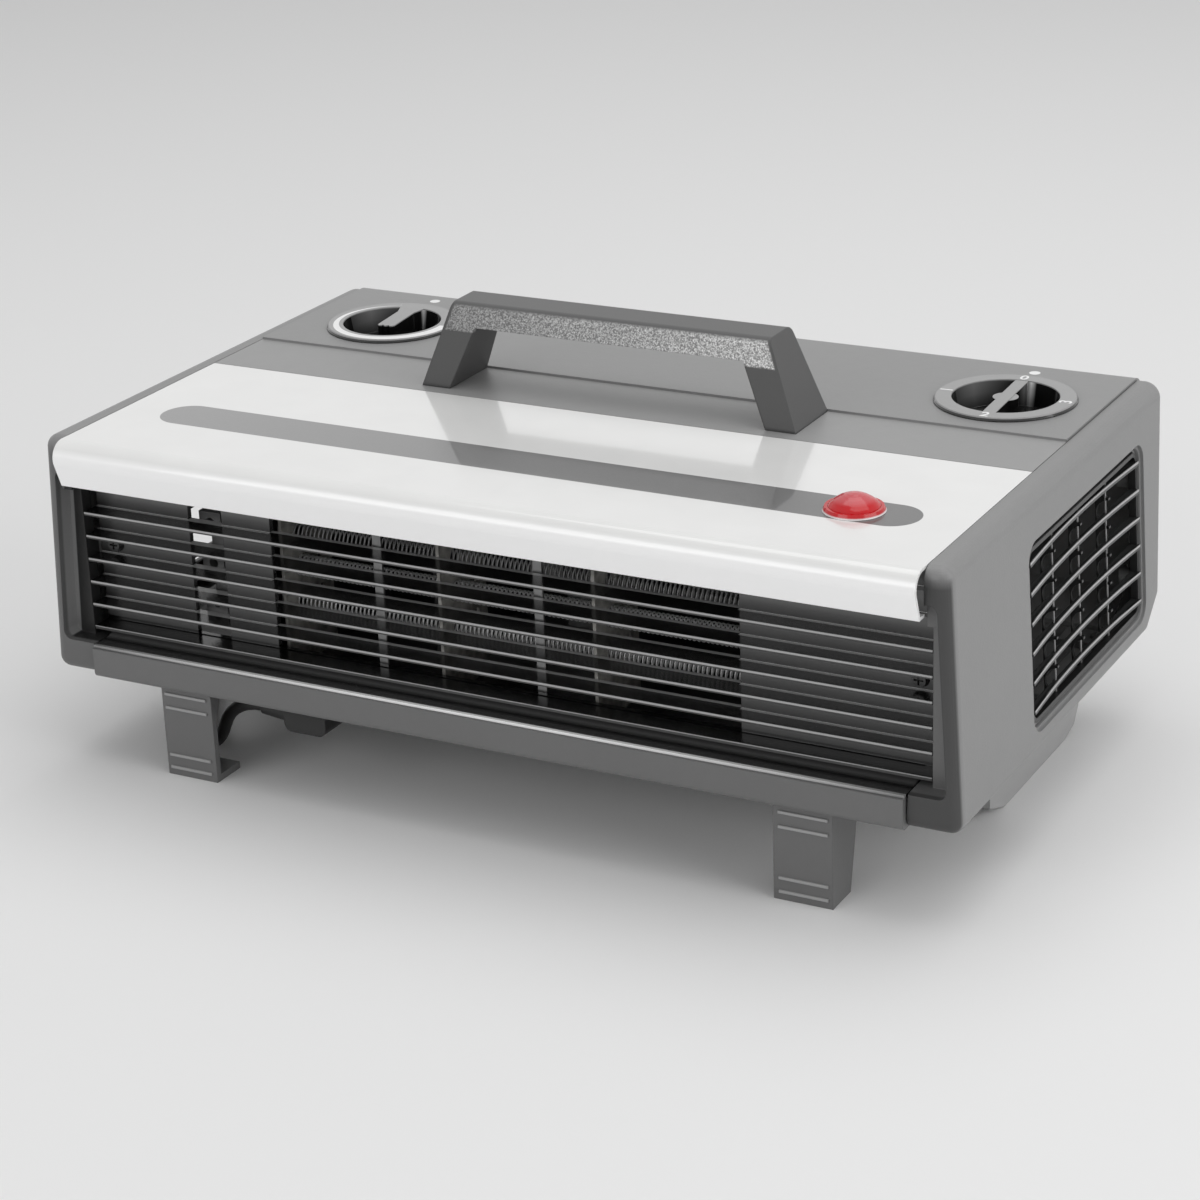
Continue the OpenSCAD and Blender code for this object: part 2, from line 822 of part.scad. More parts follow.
module base_pan() {
    half = bar_w / 2;
    color(bar_grey)
        difference() {
            union() {
                box([-half, pan_front, base_z], [half, heel_y - seam, floor_top]);
                for (m = [0, 1], y = tab_y)
                    mirror([m, 0, 0]) {
                        box([half - tab_past, y - tab_w / 2, floor_top + fit],
                            [tab_screw_x + tab_past, y + tab_w / 2, floor_top + fit + 2.4]);
                        box([half - tab_past, y - tab_w / 2, floor_top - 1.5],
                            [half, y + tab_w / 2, floor_top + 1.5]);
                    }
                // Tongue over the front bar's flange
                box([-half + 1, pan_front - 6, floor_top + fit],
                    [half - 1, pan_front + 2, floor_top + fit + 1.5]);
                box([-half + 1, pan_front + 0.2, floor_top - 0.5], [half - 1, pan_front + 2, floor_top + 1]);
            }
            for (sx = [-1, 1], y = tab_y)
                translate([sx * tab_screw_x, y, base_z])
                    cylinder(d = hole_d, h = 10);
            leg_screw_holes();
            foot_screw_holes();
            back_screw_holes();
            translate([gland_x, gland_y + 6, base_z - 1])
                cylinder(d = 8, h = 12);
        }
}

// Screws driven up from below: cheeks, back cover, legs and rear feet
module base_screws() {
    color(steel) {
        for (sx = [-1, 1], y = tab_y)
            translate([sx * tab_screw_x, y, base_z - fit])
                mirror([0, 0, 1])
                    screw(screw_d, screw_len);
        for (x = back_screw_x)
            translate([x, back_screw_y, base_z - fit])
                mirror([0, 0, 1])
                    screw(screw_d, screw_len);
        for (sx = [-1, 1], dx = [-5, 5])
            translate([sx * leg_x + dx, leg_screw_y, leg_h - 2 * fit - leg_wall])
                mirror([0, 0, 1])
                    screw(screw_d, screw_len);
        for (sx = [-1, 1], y = foot_screw_y)
            translate([sx * (rear_foot_x - rear_foot_w / 2), y, leg_h - 2 * fit - leg_wall])
                mirror([0, 0, 1])
                    screw(screw_d, screw_len);
    }
}

back_screw_x = [-110, 0, 110];
back_screw_y = heel_y - 6.5;
module back_screw_holes() {
    for (x = back_screw_x)
        translate([x, back_screw_y, base_z - 5])
            cylinder(d = hole_d, h = 20);
}

// Back cover: leaning wall with a sloping heel and a flange on the base pan
module back_cover() {
    z1 = top_z - cover_drop - seam;
    z2 = base_z + heel_h;
    b = back_at(z1) - wall;
    half = plate_w / 2;
    color(cover_grey)
        difference() {
            union() {
                along_x(-half, half)
                    polygon([[back_at(z1), z1], [back_at(z2), z2], [heel_y + 2.2, floor_top + fit],
                        [heel_y - 11, floor_top + fit], [heel_y - 11, floor_top + fit + 2],
                        [heel_y - 0.8, floor_top + fit + 2],
                        [back_at(z2) - wall, z2 + 0.8], [b, z1]]);
                // Tongue behind the cover's edge
                along_x(-half + ledge_w + 2, half - ledge_w - 2)
                    polygon([[b - fit, z1 + 4.5], [b - fit - 1.5, z1 + 4.5], [b - 1.6, z1 - 6],
                        [b + 0.4, z1 - 6], [b + 0.3, z1 - 1], [b - fit, z1 - 0.2]]);
            }
            back_screw_holes();
        }
}

// Feet

leg_screw_y = front_y + leg_front + leg_top_d - 5;
module leg_screw_holes() {
    for (sx = [-1, 1], dx = [-5, 5])
        translate([sx * leg_x + dx, leg_screw_y, base_z - 5])
            cylinder(d = hole_d, h = 20);
}

// Front leg: ridged front face, deep outer side, small inner gusset
module right_leg_solid() {
    w = leg_w;
    y0 = front_y + leg_front;
    h = leg_h - fit;
    difference() {
        union() {
            box([leg_x - w / 2, y0, 0], [leg_x + w / 2, y0 + leg_wall, h]);
            along_x(leg_x + w / 2 - leg_wall, leg_x + w / 2)
                polygon([[y0, 0], [y0 + leg_foot_d, 0], [y0 + leg_top_d, h], [y0, h]]);
            along_x(leg_x - w / 2, leg_x - w / 2 + leg_wall)
                polygon([[y0, h * 0.62], [y0 + leg_wall, h * 0.62], [y0 + leg_wall + 4, h], [y0, h]]);
            box([leg_x - w / 2, y0, h - leg_wall], [leg_x + w / 2, y0 + leg_top_d, h]);
            box([leg_x - w / 2, y0, 0], [leg_x + w / 2, y0 + leg_foot_d, leg_wall]);
            for (s = [0.09, 0.24, 0.77, 0.91])
                box([leg_x - w / 2 + 2, y0 - 0.6, h * (1 - s) - 0.5],
                    [leg_x + w / 2 - 1.5, y0 + 0.5, h * (1 - s) + 0.5]);
        }
        leg_screw_holes();
    }
}

module right_leg() {
    color(leg_grey) right_leg_solid();
}

module left_leg() {
    color(leg_grey)
        mirror([1, 0, 0])
            right_leg_solid();
}

foot_y0 = front_y + rear_foot_front;
foot_screw_y = [foot_y0 + 22, foot_y0 + rear_foot_l - 22];
module foot_screw_holes() {
    for (sx = [-1, 1], y = foot_screw_y)
        translate([sx * (rear_foot_x - rear_foot_w / 2), y, base_z - 5])
            cylinder(d = hole_d, h = 20);
}

// Rear foot: long skid with raised ends, hollow on its inner side
module foot_profile(in) {
    l = rear_foot_l - 2 * in;
    z0 = in;
    z1 = leg_h - fit - in;
    translate([foot_y0 + in, 0])
        polygon([[0, z1], [0, z0 + 5], [2, z0 + 4.2], [14, z0], [l - 14, z0],
            [l - 4, z0 + 2.4], [l, z0 + 8], [l, z1]]);
}

module right_rear_foot_solid() {
    difference() {
        along_x(rear_foot_x - rear_foot_w, rear_foot_x)
            foot_profile(0);
        along_x(rear_foot_x - rear_foot_w - 1, rear_foot_x - leg_wall)
            foot_profile(leg_wall);
        foot_screw_holes();
    }
}

module right_rear_foot() {
    color(cheek_grey) right_rear_foot_solid();
}

module left_rear_foot() {
    color(cheek_grey)
        mirror([1, 0, 0])
            right_rear_foot_solid();
}

// Lamp

lamp_neck_d = lamp_d - 6;
module lamp_rim() {
    color(white)
        translate([lamp_x, front_y + lamp_set, top_z + fit])
            difference() {
                union() {
                    cylinder(d1 = lamp_d, d2 = lamp_d - 1.5, h = 1.5);
                    translate([0, 0, -13])
                        cylinder(d = lamp_neck_d, h = 13.5);
                }
                translate([0, 0, -14])
                    cylinder(d = lamp_neck_d - 3, h = 20);
                translate([0, 0, 0.5])
                    cylinder(d = lamp_d - 3.5, h = 3);
            }
}

module lamp_lens() {
    d = lamp_d - 3.5 - 2 * fit;
    dome_r = d * d / (8 * lens_rise) + lens_rise / 2;
    color("#d1454b")
        translate([lamp_x, front_y + lamp_set, top_z + fit + 0.5 + fit])
            difference() {
                union() {
                    cylinder(d = d, h = 1);
                    intersection() {
                        translate([0, 0, 1 + lens_rise - dome_r])
                            sphere(r = dome_r);
                        cylinder(d = d, h = 1 + 2 * lens_rise);
                    }
                    translate([0, 0, -6])
                        cylinder(d = lamp_neck_d - 3 - 2 * fit, h = 6.5);
                }
                translate([0, 0, -7])
                    cylinder(d = lamp_neck_d - 6, h = 7);
            }
}

module neon_lamp() {
    d = lamp_neck_d - 6.6;
    color("#e8a06a")
        translate([lamp_x, front_y + lamp_set, top_z - 12]) {
            cylinder(d = d, h = 11);
            for (s = [-1, 1])
                translate([s * 1.3, 0, -6])
                    cylinder(d = 0.8, h = 7);
            difference() {
                cylinder(d = lamp_neck_d - 3 - 2 * fit, h = 3);
                cylinder(d = d - 0.2, h = 4);
            }
        }
}

// Dials

bar_past = 5.5;
bar_drop = 0.15;
module dial_blank() {
    out_d = bowl_d + 3;
    difference() {
        union() {
            translate([0, 0, seam])
                cylinder(d1 = dial_d, d2 = dial_d - 1.6, h = flange_t);
            translate([0, 0, -bowl_depth])
                cylinder(d = out_d, h = bowl_depth + 1);
            translate([0, 0, -bowl_depth - 2.4])
                cylinder(d = 13, h = 3);
        }
        translate([0, 0, -bowl_depth + 1.6])
            cylinder(d1 = bowl_d - 3, d2 = bowl_d + 0.3, h = bowl_depth - 1.6 + seam + flange_t + 1);
    }
}

module dial_bore() {
    translate([0, 0, -bowl_depth - 3])
        cylinder(d = spindle_d + 2 * 0.03, h = 7);
}

module selector_dial() {
    color(black)
        translate([dial_at(1), dial_y, panel_z])
            difference() {
                union() {
                    dial_blank();
                    rotate([0, 0, cross_turn])
                        translate([-cross_bar_t / 2, -bowl_d / 2 - 0.8, -bowl_depth])
                            cube([cross_bar_t, bowl_d + 1.6, bowl_depth + seam + flange_t - bar_drop]);
                    translate([0, 0, -bowl_depth])
                        cylinder(d = cross_bar_t + 4.4, h = bowl_depth + seam + flange_t - 2 * bar_drop);
                }
                dial_bore();
            }
}

// Finger bar from the back of the bowl to past its middle, wide at its root and ribbed at its end
module half_bar() {
    w = bar_t / 2;
    root = bowl_d / 2 + 0.5;
    polygon([[-w, -bar_past], [w, -bar_past], [w, root - 7], [w + 2, root],
        [-w - 2, root], [-w, root - 7]]);
    for (k = [-1:1])
        translate([k * bar_t / 3, -bar_past])
            circle(d = bar_t / 4);
}

module thermostat_dial() {
    color(black)
        translate([dial_at(-1), dial_y, panel_z])
            difference() {
                union() {
                    dial_blank();
                    rotate([0, 0, half_turn])
                        translate([0, 0, -bowl_depth])
                            linear_extrude(height = bowl_depth + seam + flange_t)
                                half_bar();
                    translate([0, 0, -bowl_depth])
                        cylinder(d = spindle_d + 4, h = 4.6);
                }
                dial_bore();
            }
}

module spindle() {
    translate([0, 0, body_z - 10])
        cylinder(d = spindle_d, h = panel_z - bowl_depth + 3.6 - body_z + 10);
}

module thermostat_spindle() {
    color(brass)
        translate([dial_at(-1), dial_y, 0])
            spindle();
}

module selector_spindle() {
    color(steel)
        translate([dial_at(1), dial_y, 0])
            spindle();
}

module bush() {
    translate([0, 0, body_z - 1])
        cylinder(d = bush_d, h = wall + 4.3);
}

module spindle_bore() {
    translate([0, 0, body_z - 10 - fit])
        cylinder(d = spindle_d + 2 * running_fit, h = 40);
}

module selector_switch() {
    color(black)
        translate([dial_at(1), dial_y, 0])
            difference() {
                union() {
                    translate([-15, -13, body_z - 22])
                        cube([30, 26, 22 - fit]);
                    bush();
                    for (x = [-10, -3.5, 3.5, 10])
                        translate([x - 0.4, -3, body_z - 29])
                            cube([0.8, 6, 8]);
                }
                spindle_bore();
            }
}

module thermostat_body() {
    color("#c9c4b4")
        translate([dial_at(-1), dial_y, 0])
            difference() {
                union() {
                    translate([-11, -16, body_z - 12])
                        cube([22, 32, 12 - fit]);
                    bush();
                    translate([-5, -16, body_z - 20])
                        cube([10, 22, 9]);
                    for (s = [-1, 1])
                        translate([-3, s * 12 - 0.4, body_z - 27])
                            cube([6, 0.8, 16]);
                }
                spindle_bore();
            }
}

module dial_nuts() {
    color(steel)
        for (sx = [-1, 1])
            translate([dial_at(sx), dial_y, body_z + wall + fit])
                difference() {
                    cylinder(d = 15, h = 1.8, $fn = 6);
                    translate([0, 0, -1])
                        cylinder(d = bush_d + 2 * fit, h = 5);
                }
}

// Motor

module at_shaft() {
    translate([fan_x, shaft_y, shaft_z])
        children();
}

core_back = 50;
module motor_core() {
    color(steel)
        at_shaft()
            difference() {
                along_x(-stack_half, stack_half)
                    difference() {
                        polygon([[-22, -17], [-18, -21], [core_back, -21],
                            [core_back, 21], [-18, 21], [-22, 17]]);
                        circle(d = rotor_d + 2 * air_gap);
                        translate([24, -11])
                            square([core_back - 24 - 11, 22]);
                    }
                for (sz = [-1, 1])
                    translate([0, -16, sz * 17])
                        bar_x(-20, 20, hole_d / 2);
            }
}

module motor_coil() {
    y0 = core_back - 11;
    color(copper)
        at_shaft()
            difference() {
                translate([0, y0 + 5.5, 0])
                    linear_extrude(height = 21.4, center = true)
                        rounded_rect(stack_w + 22, 35 - 4, 6);
                translate([0, y0 + 5.5, 0])
                    cube([stack_w + 2 * fit, 11 + 2 * fit, 30], center = true);
            }
}

module rotor() {
    color(steel)
        at_shaft()
            difference() {
                union() {
                    bar_x(-stack_half, stack_half, rotor_d / 2);
                    bar_x(-stack_half - 3, stack_half + 3, rotor_d / 2 - 3);
                }
                bar_x(-30, 30, shaft_d / 2 + 0.02);
            }
}

module motor_shaft() {
    reach = wheel_in + 12;
    color(steel)
        at_shaft()
            bar_x(-reach, reach, shaft_d / 2);
}

// Two long screws that clamp both bridges to the stack
module motor_screws() {
    color(steel)
        at_shaft()
            for (sz = [-1, 1])
                translate([bridge_x + 2 + fit, -16, sz * 17])
                    rotate([0, 90, 0])
                        screw(screw_d, 2 * bridge_x + 8);
}

module bearing_bridge() {
    difference() {
        union() {
            translate([bridge_x, -6, -21])
                cube([2, 12, 42]);
            for (sz = [-1, 1])
                translate([stack_half + fit, -21, sz * 17 - 4])
                    cube([bridge_x - stack_half - fit + 2, 15.5, 8]);
            for (sz = [-1, 1])
                translate([bridge_x, -21, sz * 17 - 4])
                    cube([2, 18, 8]);
            bar_x(bridge_x - 3, bridge_x + 4, 8);
        }
        bar_x(bridge_x - 4, bridge_x + 5, 5 + fit);
        for (sz = [-1, 1])
            translate([0, -16, sz * 17])
                bar_x(0, 40, hole_d / 2);
    }
}

module right_bearing_bridge() {
    color(steel) at_shaft() bearing_bridge();
}

module left_bearing_bridge() {
    color(steel) at_shaft() mirror([1, 0, 0]) bearing_bridge();
}

module bearing() {
    difference() {
        union() {
            bar_x(bridge_x - 3, bridge_x + 4, 5);
            bar_x(bridge_x + 4 + fit, bridge_x + 5, 6.5);
            bar_x(bridge_x + 3.5, bridge_x + 4.5, 5);
        }
        bar_x(0, 60, bore_r);
    }
}

module right_bearing() {
    color(brass) at_shaft() bearing();
}

module left_bearing() {
    color(brass) at_shaft() mirror([1, 0, 0]) bearing();
}

// Blower wheel: curved blades between a hub disc and an end ring
module blade() {
    r0 = wheel_d / 2 - 9;
    r1 = wheel_d / 2;
    rb = 9;
    intersection() {
        translate([r0 + 3.2, -6.6])
            difference() {
                circle(r = rb);
                circle(r = rb - blade_t);
            }
        difference() {
            circle(r = r1 - 0.2);
            circle(r = r0);
        }
        translate([r0 - 2, -1])
            square([14, 9]);
    }
}

module blower_wheel() {
    x0 = wheel_in;
    difference() {
        union() {
            bar_x(x0, x0 + 1.5, wheel_d / 2);
            bar_x(x0, x0 + 12, 7);
            along_x(x0 + 1, x0 + wheel_w - 1)
                for (k = [0:blade_count - 1])
                    rotate(k * 360 / blade_count)
                        blade();
            difference() {
                bar_x(x0 + wheel_w - 2, x0 + wheel_w, wheel_d / 2);
                bar_x(x0 + wheel_w - 3, x0 + wheel_w + 1, wheel_d / 2 - 8);
            }
        }
        bar_x(x0 - 1, x0 + 20, shaft_d / 2 + 0.02);
    }
}

module right_blower_wheel() {
    color("#d8d8d4") at_shaft() blower_wheel();
}

module left_blower_wheel() {
    color("#d8d8d4") at_shaft() mirror([1, 0, 0]) blower_wheel();
}

// Scroll casing: a spiral that opens over the back and under the wheel to the duct
module volute(in) {
    y0 = duct_y + duct_d + fit - shaft_y - (in > 0 ? 1 : 0);
    spiral = [for (a = [cutoff_a:7.5:266]) let (r = scroll_r0 + scroll_growth * a / 270 - in)
        [-r * cos(a), r * sin(a)]];
    polygon(concat(spiral, [[0, in - scroll_b], [y0, in - scroll_b], [y0, outlet_rise - in]]));
}

module scroll() {
    x0 = scroll_in;
    x1 = scroll_out;
    difference() {
        union() {
            along_x(x0, x1)
                volute(0);
            for (x = [x0 + 6, x1 - 12])
                translate([x, -24, floor_top + fit - shaft_z])
                    cube([6, 20, shaft_z - floor_top - fit - scroll_b + scroll_t / 2]);
        }
        along_x(x0 + scroll_t, x1 - scroll_t)
            volute(scroll_t);
        bar_x(x1 - 5, x1 + 1, wheel_d / 2 - 5);
        bar_x(x0 - 1, x0 + 5, 12);
    }
}

module right_scroll() {
    color(leg_grey) at_shaft() scroll();
}

module left_scroll() {
    color(leg_grey) at_shaft() mirror([1, 0, 0]) scroll();
}

// Pressed bracket that stands the motor on the base pan
module motor_bracket() {
    h = shaft_z - 21 - fit - floor_top - fit;
    color(steel)
        translate([fan_x, shaft_y, floor_top + fit])
            difference() {
                union() {
                    for (y = [-19, 30]) {
                        translate([-stack_half, y, 0])
                            cube([stack_w, 1.5, h]);
                        translate([-stack_half, y, h - 1.5])
                            cube([stack_w, 12, 1.5]);
                        translate([-stack_half, y, 0])
                            cube([stack_w, 12, 1.5]);
                    }
                    translate([-stack_half, -19, 0])
                        cube([stack_w, 55, 1.5]);
                }
            }
}

// Heater

module heater_frame() {
    x0 = duct_left;
    x1 = duct_right;
    color(steel)
        difference() {
            union() {
                difference() {
                    box([x0, duct_y, duct_foot], [x1, duct_y + duct_d, duct_top]);
                    box([x0 + sheet, duct_y - 1, duct_foot + sheet],
                        [x1 - sheet, duct_y + duct_d + 1, duct_top - sheet]);
                }
                // Upright bars across the outlet
                for (x = bar_x_at)
                    box([x - 1.65, duct_y, duct_foot + 0.5], [x + 1.65, duct_y + sheet, duct_top - 0.5]);
                // Feet on the base pan
                for (x = [x0 + 12, (x0 + x1) / 2, x1 - 12])
                    box([x - 5, duct_y + 6, floor_top + fit], [x + 5, duct_y + duct_d - 4, duct_foot + 0.5]);
            }
        }
}

// Mica board with one hole for each coil and edge notches
module mica_board(x) {
    color(mica)
        difference() {
            box([x, duct_y + 2, duct_foot + sheet + fit],
                [x + mica_t, duct_y + duct_d - 2, duct_top - sheet - fit]);
            for (k = [-1:1])
                translate([0, coil_y, coil_z + k * coil_pitch])
                    bar_x(x - 1, x + mica_t + 1, coil_d / 2 + board_gap);
            for (k = [-1:1])
                translate([0, coil_y + 12, coil_z + k * coil_pitch])
                    bar_x(x - 1, x + mica_t + 1, 1.6);
        }
}

// A ring-by-ring tube round a list of points, with square ends
function unit(v) = v / norm(v);
function tangents(p) = let (n = len(p) - 1)
    [for (i = [0:n]) unit(p[min(i + 1, n)] - p[max(i - 1, 0)])];
function side_vector(t, last) = unit(last - (last * t) * t);
function side_vectors(t, first) = let (n = len(t))
    [for (i = 0, s = side_vector(t[0], first); i < n; i = i + 1, s = i < n ? side_vector(t[i], s) : s) s];

module tube(p, r, sides, first, t0, t1) {
    n = len(p);
    raw = tangents(p);
    t = [for (i = [0:n - 1]) i == 0 ? t0 : i == n - 1 ? t1 : raw[i]];
    s = side_vectors(t, first);
    pts = [for (i = [0:n - 1]) let (b = cross(t[i], s[i]))
        for (k = [0:sides - 1]) p[i] + r * (cos(360 * k / sides) * s[i] + sin(360 * k / sides) * b)];
    walls = [for (i = [0:n - 2]) for (k = [0:sides - 1]) let (a = i * sides + k,
        b = i * sides + (k + 1) % sides) each [[a, b + sides, b], [a, a + sides, b + sides]]];
    ends = [[for (k = [0:sides - 1]) k], [for (k = [sides - 1:-1:0]) (n - 1) * sides + k]];
    polyhedron(points = pts, faces = concat(ends, walls), convexity = 10);
}

// Least distance between turns of a tube, less its diameter
function self_gap(p, d, skip) = min([for (i = [0:2:len(p) - 1])
    for (j = [i + skip:1:len(p) - 1]) norm(p[i] - p[j])]) - d;

coil_x0 = board_x[0] - 6;
coil_x1 = board_x[3] + mica_t + 1.5;
curl_steps = 8;
function coil_points() = let (r = (coil_d - wire_d) / 2, n = curl_count * curl_steps)
    concat([[coil_x0 - 3 * wire_d, 0, r]],
        [for (i = [0:n]) let (a = 360 * i / curl_steps, x = coil_x0 + (coil_x1 - coil_x0) * i / n)
            [x, r * sin(a), r * cos(a)]]);

module heating_coil(k) {
    p = coil_points();
    echo(heating_coil_gap = self_gap(p, wire_d, 5));
    color("#8a8580")
        translate([0, coil_y, coil_z + (k - 2) * coil_pitch])
            tube(p, wire_d / 2, 6, [0, 0, 1], [1, 0, 0], unit(p[len(p) - 1] - p[len(p) - 2]));
}

module thermal_cutout() {
    color(black)
        translate([fan_x + 40, duct_y + duct_d / 2, duct_top + fit]) {
            cylinder(d = 15, h = 4);
            translate([-12, -4, 0])
                cube([24, 8, 0.8]);
        }
}

module terminal_block() {
    x0 = duct_left - 22;
    color(white)
        difference() {
            union() {
                box([x0 + 1.5, duct_y + 5, coil_z - 26], [duct_left - fit, duct_y + 17, coil_z + 22]);
                for (k = [-1:1])
                    box([x0 - 1, duct_y + 2, coil_z + k * 15 - 4],
                        [x0 + 8, duct_y + 14, coil_z + k * 15 + 4]);
            }
            for (k = [-1:1])
                translate([x0 + 3.5, duct_y, coil_z + k * 15])
                    rotate([-90, 0, 0])
                        cylinder(d = 3.6, h = 10);
        }
}

// Cord

// Strain relief bush under the pan
module cord_gland() {
    r = 4;
    color(black)
        difference() {
            union() {
                translate([gland_x, gland_y, base_z - fit - gland_h / 2])
                    rotate([90, 0, 0])
                        linear_extrude(height = 13, center = true)
                            rounded_rect(gland_w, gland_h, r - 1);
                translate([gland_x, gland_y, base_z - fit - 4])
                    linear_extrude(height = 4)
                        square([gland_w + 3, 15], center = true);
                translate([gland_x, gland_y + 6, base_z - 1])
                    cylinder(d = 7.6, h = wall + 1);
                translate([gland_x, gland_y, gland_z])
                    rotate([0, -90, 0])
                        cylinder(r1 = 5.2, r2 = 3.3, h = gland_w / 2 + relief_reach);
            }
            translate([gland_x, gland_y, gland_z])
                bar_x(-gland_w / 2 - relief_reach - 1, -gland_w / 2 + 2, cord_r + 2 * fit);
        }
}

// Route under the heater, hand chosen: out of the gland, down behind the left leg, out at the back
cord_in = [gland_x - gland_w / 2 + 2 - fit, gland_y, gland_z];
floor_c = cord_r + 0.1;
cord_route = [cord_in, [-94, gland_y, gland_z], [-102, -83, 25.5], [-111, -80, 18.5], [-121, -75, 10.5],
    [-132, -67, 4.5], [-143, -55, floor_c], [-151, -41, floor_c], [-157, -22, floor_c],
    [-159, 5, floor_c], [-159, 60, floor_c], [-159, 100, floor_c]];

function catmull(a, b, c, d, u) = 0.5 * (2 * b + (c - a) * u + (2 * a - 5 * b + 4 * c - d) * u * u
    + (3 * b - a - 3 * c + d) * u * u * u);
function off_floor(q) = [q[0], q[1], max(q[2], floor_c)];
function smooth(p, n) = let (m = len(p) - 1) concat([for (i = [0:m - 1]) for (j = [0:n - 1])
    off_floor(catmull(p[max(i - 1, 0)], p[i], p[i + 1], p[min(i + 2, m)], j / n))], [p[m]]);

// Coiled part: four layers that spiral in and out in turn, with a climb at each reversal
loop_steps = 24;
coil_turns = 4 * cord_loops + 0.5;
function layer_turn(u) = u > 4 * cord_loops ? 4 * cord_loops - u : let (m = u % (2 * cord_loops))
    (m < cord_loops ? m : 2 * cord_loops - m);
function climb(u, k) = max(0, min(1, 2 * (u - k * cord_loops) + 0.5));
function loop_radius(u) = coil_r0 - loop_step * layer_turn(u);
function loop_height(u) = floor_c + loop_rise * (climb(u, 1) + climb(u, 2) + climb(u, 3));
function loop_point(u) = let (a = 180 - 360 * u)
    [coil_cx + loop_radius(u) * cos(a), coil_cy + loop_radius(u) * sin(a), loop_height(u)];
function loop_points() = [for (i = [0:coil_turns * loop_steps]) loop_point(i / loop_steps)];
coil_in = loop_point(0);
coil_out = loop_point(coil_turns);
coil_in_t = unit(loop_point(0.02) - coil_in);
coil_out_t = unit(coil_out - loop_point(coil_turns - 0.02));
loop_end = cord_d * 1.1;

module cord_coil() {
    p = concat([coil_in - coil_in_t * loop_end], loop_points(), [coil_out + coil_out_t * loop_end]);
    echo(cord_coil_gap = self_gap(loop_points(), cord_d, 12));
    color(black)
        tube(p, cord_r, 6, [0, 0, 1], coil_in_t, coil_out_t);
}

cord_end = coil_in - coil_in_t * (loop_end + fit);
lead_start = coil_out + coil_out_t * (loop_end + fit);
plug_r = 13.5;
plug_axis = plug_at + [0, 0, plug_r + 0.1];
lead_route = [lead_start, lead_start + coil_out_t * 7, [-86, 130, 14.5], [-76, 125, 10.5],
    plug_axis - [9, 0, 1.5], plug_axis - [fit, 0, 0]];

module power_cord() {
    p = smooth(concat(cord_route, [cord_end - coil_in_t * 26, cord_end - coil_in_t * 8, cord_end]), 3);
    q = smooth(lead_route, 3);
    echo(cord_rings = len(p) + len(q));
    color(black) {
        tube(p, cord_r, 8, [0, 0, 1], [-1, 0, 0], coil_in_t);
        tube(q, cord_r, 8, [0, 0, 1], coil_out_t, [1, 0, 0]);
    }
}

// Round three-pin plug lying on its side, cord end at zero
relief_l = 20;
plug_l = 48;
module at_plug() {
    translate(plug_axis)
        rotate([0, 90, 0])
            children();
}

module plug() {
    color(black)
        at_plug()
            difference() {
                union() {
                    cylinder(d1 = 8, d2 = 12, h = relief_l);
                    translate([0, 0, relief_l - 1])
                        cylinder(d1 = 15, d2 = 2 * plug_r, h = 8);
                    translate([0, 0, relief_l + 7])
                        cylinder(r = plug_r, h = plug_l - relief_l - 7);
                }
                plug_pin_shapes(0.05);
            }
}

module plug_pin_shapes(gap) {
    for (s = [-1, 1])
        translate([4, s * 6.5, plug_l - 6 - gap])
            cylinder(d = 4 + 2 * gap, h = 24);
    translate([-7, 0, plug_l - 6 - gap])
        cylinder(d = 5 + 2 * gap, h = 26);
}

module plug_pins() {
    color(brass)
        at_plug()
            plug_pin_shapes(0);
}

left_cheek();
right_cheek();
left_side_grille();
right_side_grille();
top_plate();
top_cover();
handle();
handle_screws();
front_grille();
front_bar();
front_screws();
base_pan();
base_screws();
back_cover();
left_leg();
right_leg();
left_rear_foot();
right_rear_foot();
lamp_rim();
lamp_lens();
neon_lamp();
thermostat_dial();
thermostat_body();
thermostat_spindle();
selector_dial();
selector_switch();
selector_spindle();
dial_nuts();
motor_core();
motor_coil();
rotor();
motor_shaft();
motor_screws();
left_bearing_bridge();
right_bearing_bridge();
left_bearing();
right_bearing();
left_blower_wheel();
right_blower_wheel();
left_scroll();
right_scroll();
motor_bracket();
heater_frame();
mica_board(board_x[0]);  // mica_board_1
mica_board(board_x[1]);  // mica_board_2
mica_board(board_x[2]);  // mica_board_3
mica_board(board_x[3]);  // mica_board_4
heating_coil(1);  // heating_coil_1
heating_coil(2);  // heating_coil_2
heating_coil(3);  // heating_coil_3
thermal_cutout();
terminal_block();
cord_gland();
power_cord();
cord_coil();
plug();
plug_pins();
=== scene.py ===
import math

import bpy
from mathutils import Matrix, Vector


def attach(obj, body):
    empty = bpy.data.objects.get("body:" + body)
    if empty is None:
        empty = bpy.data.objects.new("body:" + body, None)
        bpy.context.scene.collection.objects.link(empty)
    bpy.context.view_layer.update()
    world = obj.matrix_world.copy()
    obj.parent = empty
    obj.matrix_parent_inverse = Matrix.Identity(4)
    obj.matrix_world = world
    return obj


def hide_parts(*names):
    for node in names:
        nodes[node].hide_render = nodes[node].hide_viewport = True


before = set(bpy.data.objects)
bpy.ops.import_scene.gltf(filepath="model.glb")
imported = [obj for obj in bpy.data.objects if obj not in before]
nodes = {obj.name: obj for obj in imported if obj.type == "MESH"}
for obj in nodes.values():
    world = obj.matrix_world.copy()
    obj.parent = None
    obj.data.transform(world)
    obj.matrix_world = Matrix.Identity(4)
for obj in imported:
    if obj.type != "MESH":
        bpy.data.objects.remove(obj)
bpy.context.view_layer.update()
scene = bpy.context.scene
mm = 0.001
sharp = 0.1 * mm  # soft width of a crisp painted edge
print("frame loaded with", len(nodes), "nodes")


